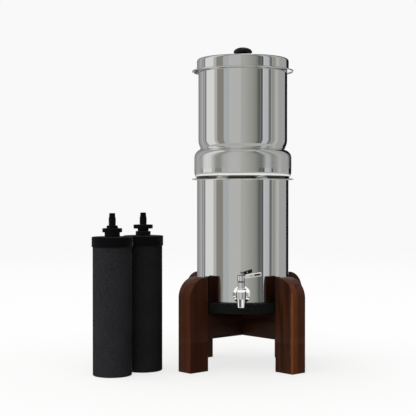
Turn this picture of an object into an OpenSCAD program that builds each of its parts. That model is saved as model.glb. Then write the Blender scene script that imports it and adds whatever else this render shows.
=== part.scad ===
// Gravity water filter: two nested steel chambers with a lid and a tap on a wooden stand.
// Its two filter elements are taken out and stand upright beside it, stems up.
// The tank's axis is vertical and the tap faces -Y. The origin is on the floor, in the middle
// of the whole set's footprint.

/* [Stand] */
// Height of each leg
leg_h = 158; // [146:1:180]
// Width of each leg, measured outward from the tank
leg_w = 40; // [32:1:50]
// Thickness of each leg
leg_t = 31; // [24:1:36]
// Flat left on a leg's top, inside its rounded corner
leg_flat = 6; // [3:1:12]
// Gap between the base ring and each leg
leg_gap = 2; // [1:0.5:5]
// Height of each cross rail
rail_h = 44; // [34:1:54]
// Thickness of each cross rail
rail_t = 30; // [22:1:34]
// How far the rails' top lies below the legs' top
rail_drop = 60; // [52:1:66]
// Diameter of each dowel
dowel_d = 8; // [6:1:10]
// Length of each dowel
dowel_l = 40; // [30:1:50]
// Clearance between the two rails at their half lap
lap_gap = 0.1; // [0.05:0.05:0.3]
// Clearance between the rails and the base ring that rests on them
rest_gap = 0.02; // [0.01:0.01:0.05]
// Glue gap around and past each dowel
dowel_gap = 0.1; // [0.05:0.05:0.3]

/* [Base ring] */
// Height of the base ring
ring_h = 17; // [13:1:22]
// Thickness of the base ring's wall
ring_wall = 12.5; // [8:0.5:16]
// Thickness of the ledge that the tank stands on
ledge_t = 5; // [4.5:0.5:8]
// Width of that ledge
ledge_w = 15; // [12:1:24]
// Gap between the tank and the ring's wall
ring_gap = 0.3; // [0.2:0.1:0.8]

/* [Lower chamber] */
// Thickness of the steel sheet
sheet = 0.8; // [0.6:0.1:1.2]
// Radius of the lower chamber
tank_r = 80; // [76:1:90]
// Height of the lower chamber
lower_h = 222; // [200:1:260]
// Corner radius round the lower chamber's bottom
base_round = 8; // [4:1:12]
// How far the flange round each chamber's mouth stands out from the lower chamber
flange_w = 8.6; // [6:0.2:12]
// Radius of the rolled bead on each flange's edge
bead_r = 1.2; // [1:0.1:1.6]
// Height of the tap's shank above the chamber's bottom
tap_up = 27; // [24:1:40]

/* [Upper chamber] */
// Gap between the upper chamber's nested foot and the lower chamber
nest_gap = 1.6; // [1:0.1:3]
// Depth of the upper chamber's foot below the joint
nest_depth = 31; // [25:1:45]
// Corner radius round the upper chamber's floor
floor_round = 6; // [3:0.5:9]
// Width of the flat seat on the lower chamber's flange
seat_w = 1; // [0.6:0.1:2]
// How far the bulge stands out from the lower chamber
bulge_out = 4.8; // [3.2:0.2:6]
// Height of the bulge's rounded underside
bulge_low = 12; // [8:0.5:14]
// Height of the bulge's straight band
bulge_h = 24; // [18:1:32]
// Rise from the bulge's band to the neck
shoulder_rise = 17; // [14:1:22]
// Depth of the neck below the chamber's wall
neck_in = 3.6; // [2.4:0.2:6]
// Radius of the neck's hollow
neck_round = 3; // [2:0.5:5]
// Rise from the neck to the straight wall
hip_rise = 14; // [11:1:16]
// Height of the upper chamber above the joint
upper_h = 188; // [184:1:230]
// Gap between the two elements' caps when they stand in this chamber
element_room = 2.4; // [1.4:0.2:4]

/* [Lid] */
// Height of the lid above the flange
lid_h = 20.5; // [18:0.5:28]
// How far the lid's skirt stands out from the chamber's wall
lid_out = 2.6; // [1.6:0.2:5]
// Radius of the lid's top edge
lid_round = 5; // [2:0.5:8]
// Radius of the bends at the lid's foot and at the chamber's mouth under it
hem_round = 1.4; // [1.4:0.1:2]
// Depth of the lid's lip inside the mouth
lip_h = 6; // [4:0.5:12]
// Gap between the lid's lip and the mouth
lip_gap = 0.5; // [0.3:0.1:1.2]
// Radius of the knob
knob_r = 16.3; // [14:0.1:22]
// Height of the knob
knob_h = 20.5; // [18:0.5:26]
// Height of the knob's dome
knob_dome = 8.5; // [6:0.5:10]
// Height of the hollow under the knob's edge
knob_under = 3; // [2:0.5:5]
// Radius of the knob's waist
knob_waist_r = 9; // [7:0.5:10]
// Radius of the knob's foot
knob_foot_r = 11; // [10.5:0.5:13]
// Thickness of the knob's foot
knob_foot_h = 2; // [1:0.5:4]

/* [Knob screw] */
// Diameter of the knob's screw
knob_screw_d = 5; // [4:0.5:6]
// Length of the screw inside the knob
knob_screw_l = 12; // [8:1:14]
// Diameter of the screw's head
knob_screw_head_d = 9.5; // [8:0.5:11]
// Height of the screw's head
knob_screw_head_h = 3.5; // [2:0.5:4]
// Diameter of the washer under the lid
knob_washer_d = 14; // [12:0.5:18]
// Thickness of the washer under the lid
knob_washer_t = 1.2; // [0.8:0.1:2]
// Clearance round screws and stems that are fastened
screw_gap = 0.1; // [0.05:0.05:0.2]

/* [Tap] */
// Distance from the tank's wall to the tap's upright axis
tap_reach = 35; // [30:1:45]
// Diameter of the shank
shank_d = 14; // [12:0.5:15]
// Clearance round the shank in the tank's wall
shank_gap = 0.3; // [0.2:0.1:0.6]
// Diameter of the shank's waterway
waterway_d = 7; // [5:0.5:8]
// Radius of the escutcheon
escutcheon_r = 15; // [13:0.5:18]
// Radius of the escutcheon's hub
escutcheon_hub_r = 9; // [8.5:0.5:11]
// Thickness of the escutcheon's rim
escutcheon_rim_t = 1.2; // [0.8:0.1:2]
// Thickness of the escutcheon's hub
escutcheon_t = 4.5; // [3:0.5:6]
// Radius of the rubber washer outside the wall
outer_washer_r = 14; // [12.5:0.5:15]
// Thickness of each rubber washer at its middle
washer_t = 2; // [1.5:0.25:3]
// Radius of the rubber washer inside the wall
inner_washer_r = 12; // [11:0.5:15]
// Distance across the lock nut's flats
lock_nut_w = 20; // [18:0.5:26]
// Thickness of the lock nut
lock_nut_t = 6; // [4:0.5:8]
// Length of shank showing past the lock nut
shank_end = 3; // [1:0.5:6]
// Clearance between a rubber washer and the curved wall
washer_gap = 0.05; // [0.05:0.05:0.2]

/* [Tap body] */
// Radius of the tap's body
body_r = 8; // [7.5:0.25:9]
// Outer radius of the nozzle's mouth
nozzle_r = 6.6; // [6:0.1:7.4]
// Radius of the nozzle's bore
outlet_r = 4.5; // [3.5:0.25:4.75]
// Depth of the nozzle's mouth below the shank
nozzle_drop = 18; // [15:0.5:22]
// Depth at which the nozzle reaches the body's full radius
nozzle_taper = 3; // [2:0.5:6]
// Height of the body's top above the shank
body_top = 11; // [10:0.5:14]
// Height of the bevel on the body's top
body_bevel = 3; // [1.5:0.5:4]
// Radius of the valve's bore
valve_r = 5.3; // [5.25:0.05:5.6]
// Depth of the valve's bore below the shank
valve_drop = 7; // [6:0.5:8]
// Running clearance of the plug and its stem
run_gap = 0.05; // [0.02:0.01:0.1]

/* [Bonnet and packing] */
// Radius of the bonnet's foot
bonnet_foot_r = 6.3; // [6:0.1:7]
// Height of the bonnet's foot
bonnet_foot_h = 2; // [1:0.5:3]
// Radius of the bonnet's neck
bonnet_r = 5.6; // [4.5:0.1:6]
// Height of the bonnet above the body
bonnet_h = 13.5; // [10:0.5:16]
// Length of the bonnet inside the valve's bore
bonnet_spigot = 3.5; // [2:0.5:4]
// Thickness of the packing ring
packing_t = 2; // [1:0.25:2]

/* [Plug and lever] */
// Radius of the plug's stem
stem_r = 3; // [2.5:0.1:3.2]
// Radius of the hole through the plug
port_r = 3; // [2:0.25:3.5]
// Width of the square on the stem's top
square_w = 4; // [3.6:0.1:4.2]
// Height of that square
square_h = 6; // [5:0.5:7]
// Gap between the lever's head and the bonnet
head_gap = 0.5; // [0.3:0.1:1]
// Radius of the lever's head
head_r = 6.2; // [5.5:0.1:7.5]
// Height of the lever's head
head_h = 10.5; // [10:0.5:13]
// Bevel round the lever's head
head_bevel = 1; // [0.5:0.25:1.5]
// Length of the lever from the tap's axis
lever_l = 34; // [30:1:60]
// Height of the lever's blade
lever_w = 6.5; // [6:0.5:9]
// Thickness of the lever's blade
lever_t = 3.5; // [3:0.25:4.5]
// Corner radius at the lever's tip
lever_corner = 1.6; // [1:0.2:2.6]
// Upward slope of the lever in degrees
lever_rise = 9; // [0:1:14]
// How far the blade sits above the middle of the lever's head
lever_up = 1.5; // [0:0.25:2]
// Diameter of the hole through the blade
lever_hole_d = 3; // [2:0.25:4]
// Distance from the tap's axis to that hole
lever_hole_at = 17.2; // [14:0.2:19]
// Distance from the tap's axis to the near end of the slot
slot_at = 21.8; // [21.4:0.2:24]
// Length of the slot pressed into the blade
slot_l = 10.4; // [6:0.2:10.4]
// Height of the slot
slot_w = 3; // [2:0.25:3.5]
// Depth of the slot
slot_depth = 1; // [0.5:0.1:1.5]

/* [Lever screw] */
// Diameter of the lever's screw
lever_screw_d = 2.4; // [2:0.1:2.6]
// Length of the screw inside the stem
lever_screw_l = 6; // [4:0.5:8]
// Diameter of the screw's head
lever_screw_head_d = 5.4; // [4.5:0.1:6]
// Height of the screw's head
lever_screw_head_h = 1.6; // [1.2:0.1:2]
// Depth of the screw's head below the lever's top
lever_screw_sink = 0.4; // [0.2:0.1:0.6]

/* [Filter element] */
// Diameter of the carbon block
block_d = 64.6; // [60:0.2:68]
// Height from the floor to the end cap's top
element_h = 228; // [200:1:229]
// Radius of the carbon block's bottom edge
block_round = 1.5; // [0.5:0.5:4]
// Diameter of the hollow inside the carbon block
hollow_d = 22; // [16:1:30]
// Thickness of carbon under that hollow
hollow_floor = 18; // [10:1:30]
// Wall of the end cap's skirt
cap_wall = 1.5; // [1.4:0.1:2]
// Glue gap between the end cap and the block
cap_gap = 0.1; // [0.05:0.05:0.2]
// Height of the end cap
cap_h = 16.6; // [12:0.2:20]
// Thickness of the end cap's top
cap_top = 4; // [3:0.5:6]
// Diameter of the boss on the end cap
boss_d = 25.4; // [22:0.2:30]
// Height of the boss
boss_h = 4; // [3:0.5:5]
// Diameter of the stem
element_stem_d = 12.4; // [11:0.1:13]
// Diameter of the stem's tip
tip_d = 10.4; // [9:0.1:10.8]
// Length of the stem's tip
tip_l = 7.5; // [5:0.5:10]
// Length of the whole stem above the boss
element_stem_l = 35; // [30:0.5:40]
// Diameter of the stem's bore
element_bore_d = 5; // [4:0.5:7]
// Thickness of the seal washer
seal_t = 3.5; // [2.5:0.25:4]
// Diameter of the nut's flange
nut_d = 32.6; // [28:0.2:36]
// Thickness of the nut's flange
nut_t = 6.5; // [5:0.25:8]
// Diameter of the nut's hub
hub_d = 19; // [17:0.5:22]
// Height of the nut's hub
hub_h = 4.5; // [3:0.5:6]
// Diameter of each grip notch round the nut
notch_d = 3; // [2:0.5:4]
// Number of grip notches round the nut
notches = 12; // [8:1:16]
// Clearance round the stem in the chamber's floor
stem_gap = 0.4; // [0.2:0.1:0.8]

/* [Places of the elements] */
// Gap between the stand's side and the rear element's cap
stand_clear = 27.1; // [15:0.1:60]
// Distance of the rear element in front of the tank's axis
rear_ahead = 68.5; // [50:0.5:90]
// Gap between the two elements' caps
pair_gap = 1.5; // [1.5:0.5:12]
// Direction from the rear element to the front one, in degrees forward of straight left
pair_angle = 49.5; // [45:0.1:65]

/* [Hidden] */
$fn = 96;

// How far a cut runs past the face that it leaves
overrun = 1;
// Facets of the tank's own curve where thin washers follow it
wall_facets = 720;
// Number of edges in each arc of a sheet-metal outline
arc_edges = 8;

walnut = [0.24, 0.12, 0.08];
steel = [0.78, 0.79, 0.80];
chrome = [0.86, 0.87, 0.88];
rubber = [0.05, 0.05, 0.05];
plastic = [0.07, 0.07, 0.08];
carbon = [0.13, 0.13, 0.13];

// Stand, measured from the tank's axis
ring_r = tank_r + ring_gap + ring_wall;
leg_in = ring_r + leg_gap;
leg_out = leg_in + leg_w;
leg_round = leg_w - leg_flat;
rail_top = leg_h - rail_drop;
rail_foot = rail_top - rest_gap - rail_h;
// Heights of the dowels as shares of the rail's height
dowel_shares = [0.25, 0.75];

// Tank, upwards from the rails
tank_z = rail_top + ledge_t;
joint_z = tank_z + lower_h;
flange_r = tank_r + flange_w;
tap_z = tank_z + tap_up;
upper_r = tank_r - sheet - nest_gap;
floor_z = joint_z - nest_depth;
// The seat's inner bend stays just inside the lower chamber's mouth
seat_round = nest_gap - lap_gap;
seat_end_r = tank_r - sheet + seat_w;
bulge_r = tank_r + bulge_out;
bulge_low_z = joint_z + bulge_low;
bulge_top_z = bulge_low_z + bulge_h;
// The underside is an arc that starts on the seat and ends upright on the bulge's band
under_run = bulge_r - seat_end_r;
under_r = (pow(under_run, 2) + pow(bulge_low, 2)) / (2 * under_run);
under_angle = asin(bulge_low / under_r);
// The neck's hollow is tangent to the shoulder below it and to the hip above it
neck_r = upper_r - neck_in;
neck_z = bulge_top_z + shoulder_rise;
neck_axis_r = neck_r + neck_round;
hip_z = neck_z + hip_rise;
shoulder_r = tangent_r(bulge_r - neck_axis_r, shoulder_rise, neck_round);
shoulder_angle = atan2(shoulder_rise, shoulder_r - (bulge_r - neck_axis_r));
hip_r = tangent_r(upper_r - neck_axis_r, hip_rise, neck_round);
hip_angle = atan2(hip_rise, hip_r - (upper_r - neck_axis_r));
rim_z = joint_z + upper_h;
mouth_axis_r = upper_r - sheet + hem_round;

// Lid
lid_r = upper_r + lid_out;
lid_top = rim_z + lid_h;
lip_r = upper_r - sheet - lip_gap;
knob_edge_z = knob_h - knob_dome;
knob_screw_hole_r = knob_screw_d / 2 + screw_gap;

// Tap, measured from its upright axis
wall_y = tap_reach;
inner_wall_y = wall_y + sheet;
outer_washer_y = wall_y - washer_t;
escutcheon_y = outer_washer_y - escutcheon_t;
lock_nut_y = inner_wall_y + washer_t;
shank_end_y = lock_nut_y + lock_nut_t + shank_end;
shank_hole_r = shank_d / 2 + screw_gap;
plug_r = valve_r - run_gap;
plug_foot_z = run_gap - valve_drop;
packing_z = body_top - bonnet_spigot - packing_t;
plug_top_z = packing_z - run_gap;
bonnet_top_z = body_top + bonnet_h;
head_z = bonnet_top_z + head_gap;
head_top_z = head_z + head_h;
square_z = head_z;
square_top_z = square_z + square_h;
screw_seat_z = head_top_z - lever_screw_sink - lever_screw_head_h;
blade_z = head_z + head_h / 2 + lever_up;

// Filter element
cap_d = block_d + 2 * (cap_gap + cap_wall);
block_h = element_h - cap_top - cap_gap;
boss_z = element_h + boss_h;
seal_z = boss_z + seal_t;
stem_top_z = boss_z + element_stem_l;
stem_hole_r = element_stem_d / 2 + stem_gap;
stem_spacing = cap_d + element_room;
nut_h = nut_t + hub_h;

// The elements' places, leftwards and forwards from the tank's axis
stand_half = (leg_out + leg_t / 2) * sin(45);
rear_side = stand_half + stand_clear + cap_d / 2;
front_side = rear_side + (cap_d + pair_gap) * cos(pair_angle);
front_ahead = rear_ahead + (cap_d + pair_gap) * sin(pair_angle);

// The whole set's footprint, from the tank's axis to each side
left_reach = max(front_side, rear_side) + cap_d / 2;
front_reach = max(front_ahead + cap_d / 2, tank_r + tap_reach + head_r, stand_half);
tank_x = (left_reach - stand_half) / 2;
tank_y = (front_reach - stand_half) / 2;

// Radius of an upright-ended arc that meets a hollow of radius f, whose centre lies
// a inside the arc's outer end and h above it
function tangent_r(a, h, f) = (a * a + h * h - f * f) / (2 * (a + f));

// Points along an arc in the plane of radius and height
function arc(at, r, from, to) =
    [for (i = [0 : arc_edges])
        let (angle = from + (to - from) * i / arc_edges)
        at + r * [cos(angle), sin(angle)]];

// One face of the lower chamber's sheet, set inwards from its outside
function lower_face(inset) = concat(
    [[0, tank_z + inset]],
    arc([tank_r - base_round, tank_z + base_round], base_round - inset, -90, 0),
    [[tank_r - inset, joint_z]]);

// One face of the upper chamber's sheet, set inwards from its outside
function upper_face(inset) = concat(
    [[0, floor_z + inset]],
    arc([upper_r - floor_round, floor_z + floor_round], floor_round - inset, -90, 0),
    arc([upper_r + seat_round, joint_z - seat_round], seat_round + inset, 180, 90),
    arc([bulge_r - under_r, bulge_low_z], under_r - inset, -under_angle, 0),
    arc([bulge_r - shoulder_r, bulge_top_z], shoulder_r - inset, 0, shoulder_angle),
    arc([neck_axis_r, neck_z], neck_round + inset, 180 + shoulder_angle, 180 - hip_angle),
    arc([upper_r - hip_r, hip_z], hip_r - inset, -hip_angle, 0),
    arc([mouth_axis_r, rim_z - hem_round], hem_round - sheet + inset, 180, 90));

// One face of the lid's sheet, set inwards from its outside
function lid_face(inset) = concat(
    [[0, lid_top - inset]],
    arc([lid_r - lid_round, lid_top - lid_round], lid_round - inset, 90, 0),
    arc([lid_r - hem_round, rim_z + hem_round], hem_round - inset, 0, -90),
    arc([lip_r + hem_round, rim_z - hem_round], hem_round + inset, 90, 180),
    [[lip_r - inset, rim_z - lip_h]]);

// The closed outline between the two faces of a sheet
function sheet_outline(outside, inside) =
    concat(outside, [for (i = [len(inside) - 1 : -1 : 0]) inside[i]]);

module at_tank() {
    translate([tank_x, tank_y, 0]) children();
}

module at_tap() {
    at_tank() translate([0, -tank_r - tap_reach, tap_z]) children();
}

// Turns an upright shape to point at the tank
module along_shank() {
    rotate([-90, 0, 0]) children();
}

module at_front_element() {
    at_tank() translate([-front_side, -front_ahead, 0]) children();
}

module at_rear_element() {
    at_tank() translate([-rear_side, -rear_ahead, 0]) children();
}

// A tube standing on z, from one radius to the other
module tube(inner, outer, height) {
    difference() {
        cylinder(r = outer, h = height);
        translate([0, 0, -overrun]) cylinder(r = inner, h = height + 2 * overrun);
    }
}

// The dowels at one end of a rail, grown by a gap on every side
module dowel_pair(gap) {
    for (share = dowel_shares)
        translate([leg_in, 0, rail_foot + share * rail_h])
            rotate([0, 90, 0])
                cylinder(d = dowel_d + 2 * gap, h = dowel_l + 2 * gap, center = true);
}

module leg_outline() {
    intersection() {
        square([leg_w, leg_h]);
        union() {
            square([leg_w, leg_h - leg_round]);
            square([leg_flat, leg_h]);
            translate([leg_flat, leg_h - leg_round]) circle(r = leg_round);
        }
    }
}

module leg(angle) {
    color(walnut) at_tank() rotate([0, 0, angle]) difference() {
        translate([leg_in, leg_t / 2, 0])
            rotate([90, 0, 0]) linear_extrude(leg_t) leg_outline();
        dowel_pair(dowel_gap);
    }
}

// A rail between two opposite legs, with its half of the lap cut from the given height
module cross_rail(angle, lap_from) {
    color(walnut) at_tank() rotate([0, 0, angle]) difference() {
        translate([-leg_in, -rail_t / 2, rail_foot]) cube([2 * leg_in, rail_t, rail_h]);
        translate([-rail_t / 2 - lap_gap, -rail_t / 2 - overrun, lap_from])
            cube([rail_t + 2 * lap_gap, rail_t + 2 * overrun, rail_h / 2 + overrun]);
        dowel_pair(dowel_gap);
        rotate([0, 0, 180]) dowel_pair(dowel_gap);
    }
}

module cross_rail_under() {
    cross_rail(45, rail_foot + rail_h / 2);
}

module cross_rail_over() {
    cross_rail(135, rail_foot - overrun);
}

module rail_dowels() {
    color(walnut) at_tank()
        for (angle = [45 : 90 : 315]) rotate([0, 0, angle]) dowel_pair(0);
}

module base_ring() {
    color(rubber) at_tank() translate([0, 0, rail_top]) difference() {
        cylinder(r = ring_r, h = ring_h);
        translate([0, 0, ledge_t]) cylinder(r = tank_r + ring_gap, h = ring_h);
        translate([0, 0, -overrun])
            cylinder(r = tank_r + ring_gap - ledge_w, h = ledge_t + 2 * overrun);
    }
}

// The flange round a chamber's mouth, from the given radius to its rolled bead
module flange_outline(from, top) {
    translate([from, top - sheet]) square([flange_r - bead_r - from, sheet]);
    translate([flange_r - bead_r, top - bead_r]) circle(r = bead_r);
}

module lower_chamber() {
    color(steel) at_tank() difference() {
        rotate_extrude() {
            polygon(sheet_outline(lower_face(0), lower_face(sheet)));
            flange_outline(tank_r - sheet, joint_z);
        }
        translate([0, -tank_r - overrun, tap_z])
            along_shank() cylinder(r = shank_d / 2 + shank_gap, h = tank_r);
    }
}

module upper_chamber() {
    color(steel) at_tank() difference() {
        rotate_extrude() {
            polygon(sheet_outline(upper_face(0), upper_face(sheet)));
            flange_outline(mouth_axis_r, rim_z);
        }
        for (side = [-1, 1])
            translate([side * stem_spacing / 2, 0, floor_z - overrun])
                cylinder(r = stem_hole_r, h = sheet + 2 * overrun);
    }
}

module lid() {
    color(steel) at_tank() difference() {
        rotate_extrude() polygon(sheet_outline(lid_face(0), lid_face(sheet)));
        translate([0, 0, lid_top - sheet - overrun])
            cylinder(r = knob_screw_hole_r, h = sheet + 2 * overrun);
    }
}

// A foot, a waist, an edge undercut in a quarter ellipse and a dome in another
module knob_outline() {
    edge = [for (i = [0 : arc_edges])
        let (angle = -90 + 90 * i / arc_edges)
        [knob_waist_r + (knob_r - knob_waist_r) * cos(angle), knob_edge_z + knob_under * sin(angle)]];
    dome = [for (i = [1 : arc_edges])
        let (angle = 90 * i / arc_edges)
        [knob_r * cos(angle), knob_edge_z + knob_dome * sin(angle)]];
    polygon(concat(
        [[0, 0], [knob_foot_r, 0], [knob_foot_r, knob_foot_h / 2], [knob_waist_r, knob_foot_h]],
        edge, dome));
}

module lid_knob() {
    color(plastic) at_tank() translate([0, 0, lid_top]) difference() {
        rotate_extrude() knob_outline();
        translate([0, 0, -overrun])
            cylinder(r = knob_screw_hole_r, h = knob_screw_l + screw_gap + overrun);
    }
}

module knob_washer() {
    color(steel) at_tank() translate([0, 0, lid_top - sheet - knob_washer_t])
        tube(knob_screw_hole_r, knob_washer_d / 2, knob_washer_t);
}

module knob_screw() {
    head_top = lid_top - sheet - knob_washer_t;
    color(steel) at_tank() union() {
        translate([0, 0, head_top - knob_screw_head_h])
            cylinder(d = knob_screw_head_d, h = knob_screw_head_h);
        translate([0, 0, head_top - knob_screw_head_h])
            cylinder(d = knob_screw_d, h = lid_top + knob_screw_l - head_top + knob_screw_head_h);
    }
}

module tap_escutcheon() {
    color(chrome) at_tap() translate([0, outer_washer_y, 0]) rotate([90, 0, 0])
        rotate_extrude() polygon([
            [shank_hole_r, 0],
            [escutcheon_r, 0],
            [escutcheon_r, escutcheon_rim_t],
            [escutcheon_hub_r, escutcheon_t],
            [shank_hole_r, escutcheon_t]]);
}

// A flat ring outside the wall whose back is hollowed to the wall's curve
module tap_outer_washer() {
    sag = tank_r - sqrt(pow(tank_r, 2) - pow(outer_washer_r, 2));
    color(rubber) difference() {
        at_tap() translate([0, outer_washer_y, 0]) along_shank()
            tube(shank_hole_r, outer_washer_r, washer_t + sag);
        at_tank() cylinder(r = tank_r + washer_gap, h = joint_z, $fn = wall_facets);
    }
}

// A flat ring inside the wall whose front is rounded to the wall's curve
module tap_inner_washer() {
    color(rubber) intersection() {
        at_tap() translate([0, inner_wall_y, 0]) along_shank()
            tube(shank_hole_r, inner_washer_r, washer_t);
        at_tank() cylinder(r = tank_r - sheet - washer_gap, h = joint_z, $fn = wall_facets);
    }
}

module tap_lock_nut() {
    color(chrome) at_tap() translate([0, lock_nut_y, 0]) along_shank() difference() {
        cylinder(d = lock_nut_w / cos(30), h = lock_nut_t, $fn = 6);
        translate([0, 0, -overrun]) cylinder(r = shank_hole_r, h = lock_nut_t + 2 * overrun);
    }
}

module tap_body() {
    color(chrome) at_tap() difference() {
        union() {
            rotate_extrude() polygon([
                [0, -nozzle_drop],
                [nozzle_r, -nozzle_drop],
                [body_r, -nozzle_taper],
                [body_r, body_top - body_bevel],
                [bonnet_foot_r, body_top],
                [0, body_top]]);
            along_shank() cylinder(d = shank_d, h = shank_end_y);
        }
        translate([0, 0, -nozzle_drop - overrun]) cylinder(r = outlet_r, h = nozzle_drop);
        translate([0, 0, -valve_drop]) cylinder(r = valve_r, h = valve_drop + body_top + overrun);
        along_shank() cylinder(d = waterway_d, h = shank_end_y + overrun);
    }
}

module tap_bonnet() {
    color(chrome) at_tap() difference() {
        union() {
            translate([0, 0, body_top - bonnet_spigot])
                cylinder(r = valve_r - screw_gap, h = bonnet_spigot + bonnet_foot_h);
            translate([0, 0, body_top]) cylinder(r = bonnet_foot_r, h = bonnet_foot_h);
            translate([0, 0, body_top]) cylinder(r = bonnet_r, h = bonnet_h);
        }
        translate([0, 0, body_top - bonnet_spigot - overrun])
            cylinder(r = stem_r + run_gap, h = bonnet_spigot + bonnet_h + 2 * overrun);
    }
}

module tap_packing() {
    color("white") at_tap() translate([0, 0, packing_z])
        tube(stem_r + run_gap, valve_r - screw_gap, packing_t);
}

// A plug with an angled waterway: it opens sideways and out of its foot
module tap_plug() {
    color(chrome) at_tap() difference() {
        union() {
            translate([0, 0, plug_foot_z]) cylinder(r = plug_r, h = plug_top_z - plug_foot_z);
            translate([0, 0, plug_foot_z]) cylinder(r = stem_r, h = square_z - plug_foot_z);
            translate([-square_w / 2, -square_w / 2, plug_foot_z])
                cube([square_w, square_w, square_top_z - plug_foot_z]);
        }
        rotate([0, -90, 0]) cylinder(r = port_r, h = plug_r + overrun);
        translate([0, 0, plug_foot_z - overrun]) cylinder(r = port_r, h = overrun - plug_foot_z);
        translate([0, 0, square_top_z - lever_screw_l - screw_gap])
            cylinder(d = lever_screw_d + 2 * screw_gap, h = lever_screw_l + screw_gap + overrun);
    }
}

module blade_outline() {
    union() {
        translate([0, -lever_w / 2]) square([lever_l - lever_corner, lever_w]);
        translate([0, lever_corner - lever_w / 2]) square([lever_l, lever_w - 2 * lever_corner]);
        for (side = [-1, 1])
            translate([lever_l - lever_corner, side * (lever_w / 2 - lever_corner)])
                circle(r = lever_corner);
    }
}

module slot_outline() {
    union() {
        translate([slot_at + slot_w / 2, -slot_w / 2]) square([slot_l - slot_w, slot_w]);
        for (end = [slot_w / 2, slot_l - slot_w / 2])
            translate([slot_at + end, 0]) circle(d = slot_w);
    }
}

// The blade stands on edge, with its hole and slot facing front
module lever_blade() {
    translate([0, 0, blade_z]) rotate([0, -lever_rise, 0]) rotate([90, 0, 0]) difference() {
        translate([0, 0, -lever_t / 2]) linear_extrude(lever_t) blade_outline();
        translate([lever_hole_at, 0, -lever_t]) cylinder(d = lever_hole_d, h = 2 * lever_t);
        translate([0, 0, lever_t / 2 - slot_depth])
            linear_extrude(slot_depth + overrun) slot_outline();
    }
}

module tap_lever() {
    socket_w = square_w + 2 * screw_gap;
    color(chrome) at_tap() difference() {
        union() {
            translate([0, 0, head_z]) rotate_extrude() polygon([
                [0, 0],
                [head_r - head_bevel, 0],
                [head_r, head_bevel],
                [head_r, head_h - head_bevel],
                [head_r - head_bevel, head_h],
                [0, head_h]]);
            lever_blade();
        }
        translate([-socket_w / 2, -socket_w / 2, head_z - overrun])
            cube([socket_w, socket_w, square_top_z + screw_gap - head_z + overrun]);
        translate([0, 0, square_top_z])
            cylinder(d = lever_screw_d + 2 * screw_gap, h = head_h);
        translate([0, 0, screw_seat_z])
            cylinder(d = lever_screw_head_d + 2 * screw_gap, h = head_h);
    }
}

module tap_lever_screw() {
    color(chrome) at_tap() union() {
        translate([0, 0, screw_seat_z]) cylinder(d = lever_screw_head_d, h = lever_screw_head_h);
        translate([0, 0, square_top_z - lever_screw_l])
            cylinder(d = lever_screw_d, h = screw_seat_z - square_top_z + lever_screw_l + lever_screw_head_h);
    }
}

module carbon_block() {
    color(carbon) difference() {
        union() {
            translate([0, 0, block_round])
                cylinder(d = block_d, h = block_h - block_round);
            cylinder(d1 = block_d - 2 * block_round, d2 = block_d, h = block_round);
        }
        translate([0, 0, hollow_floor]) cylinder(d = hollow_d, h = block_h);
    }
}

// A glued cap with a boss and a hollow threaded stem
module end_cap() {
    color(plastic) difference() {
        union() {
            translate([0, 0, element_h - cap_h]) cylinder(d = cap_d, h = cap_h);
            translate([0, 0, element_h - cap_top]) cylinder(d = boss_d, h = cap_top + boss_h);
            translate([0, 0, element_h - cap_top])
                cylinder(d = element_stem_d, h = cap_top + boss_h + element_stem_l - tip_l);
            translate([0, 0, element_h - cap_top])
                cylinder(d = tip_d, h = cap_top + boss_h + element_stem_l);
        }
        translate([0, 0, element_h - cap_h - overrun])
            cylinder(d = block_d + 2 * cap_gap, h = cap_h - cap_top + overrun);
        translate([0, 0, element_h - cap_h])
            cylinder(d = element_bore_d, h = cap_h + boss_h + element_stem_l + overrun);
    }
}

module seal_washer() {
    color(rubber) translate([0, 0, boss_z])
        tube(element_stem_d / 2 + screw_gap, boss_d / 2, seal_t);
}

// A flanged nut with its hub up, drawn from its own foot
module hand_nut() {
    difference() {
        union() {
            cylinder(d = nut_d, h = nut_t);
            cylinder(d = hub_d, h = nut_h);
        }
        translate([0, 0, -overrun])
            cylinder(r = element_stem_d / 2 + screw_gap, h = nut_h + 2 * overrun);
        for (i = [0 : notches - 1])
            rotate([0, 0, i * 360 / notches]) translate([nut_d / 2, 0, -overrun])
                cylinder(d = notch_d, h = nut_t + 2 * overrun);
    }
}

module front_hand_nut() {
    color(plastic) at_front_element() translate([0, 0, seal_z]) hand_nut();
}

// This nut was put back upside down, with its hub on the washer
module rear_hand_nut() {
    color(plastic) at_rear_element() translate([0, 0, seal_z + nut_h]) rotate([180, 0, 0]) hand_nut();
}

leg(225);  // leg_front_left
leg(315);  // leg_front_right
leg(135);  // leg_back_left
leg(45);  // leg_back_right
cross_rail_under();
cross_rail_over();
rail_dowels();
base_ring();
lower_chamber();
tap_escutcheon();
tap_outer_washer();
tap_body();
tap_inner_washer();
tap_lock_nut();
tap_bonnet();
tap_packing();
tap_plug();
tap_lever();
tap_lever_screw();
upper_chamber();
lid();
lid_knob();
knob_screw();
knob_washer();
at_front_element() carbon_block();  // front_carbon_block
at_front_element() end_cap();  // front_end_cap
at_front_element() seal_washer();  // front_seal_washer
front_hand_nut();
at_rear_element() carbon_block();  // rear_carbon_block
at_rear_element() end_cap();  // rear_end_cap
at_rear_element() seal_washer();  // rear_seal_washer
rear_hand_nut();
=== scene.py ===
"""Looks for the gravity water filter: two nested steel chambers on a wooden stand, and two filter elements.

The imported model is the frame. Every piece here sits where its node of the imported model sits, in metres.
"""
import logging
import math
from dataclasses import dataclass
from enum import Enum
from typing import Dict, List, Optional, Sequence, Tuple, Union

import bmesh
import bpy
from mathutils import Euler, Matrix, Vector


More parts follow.
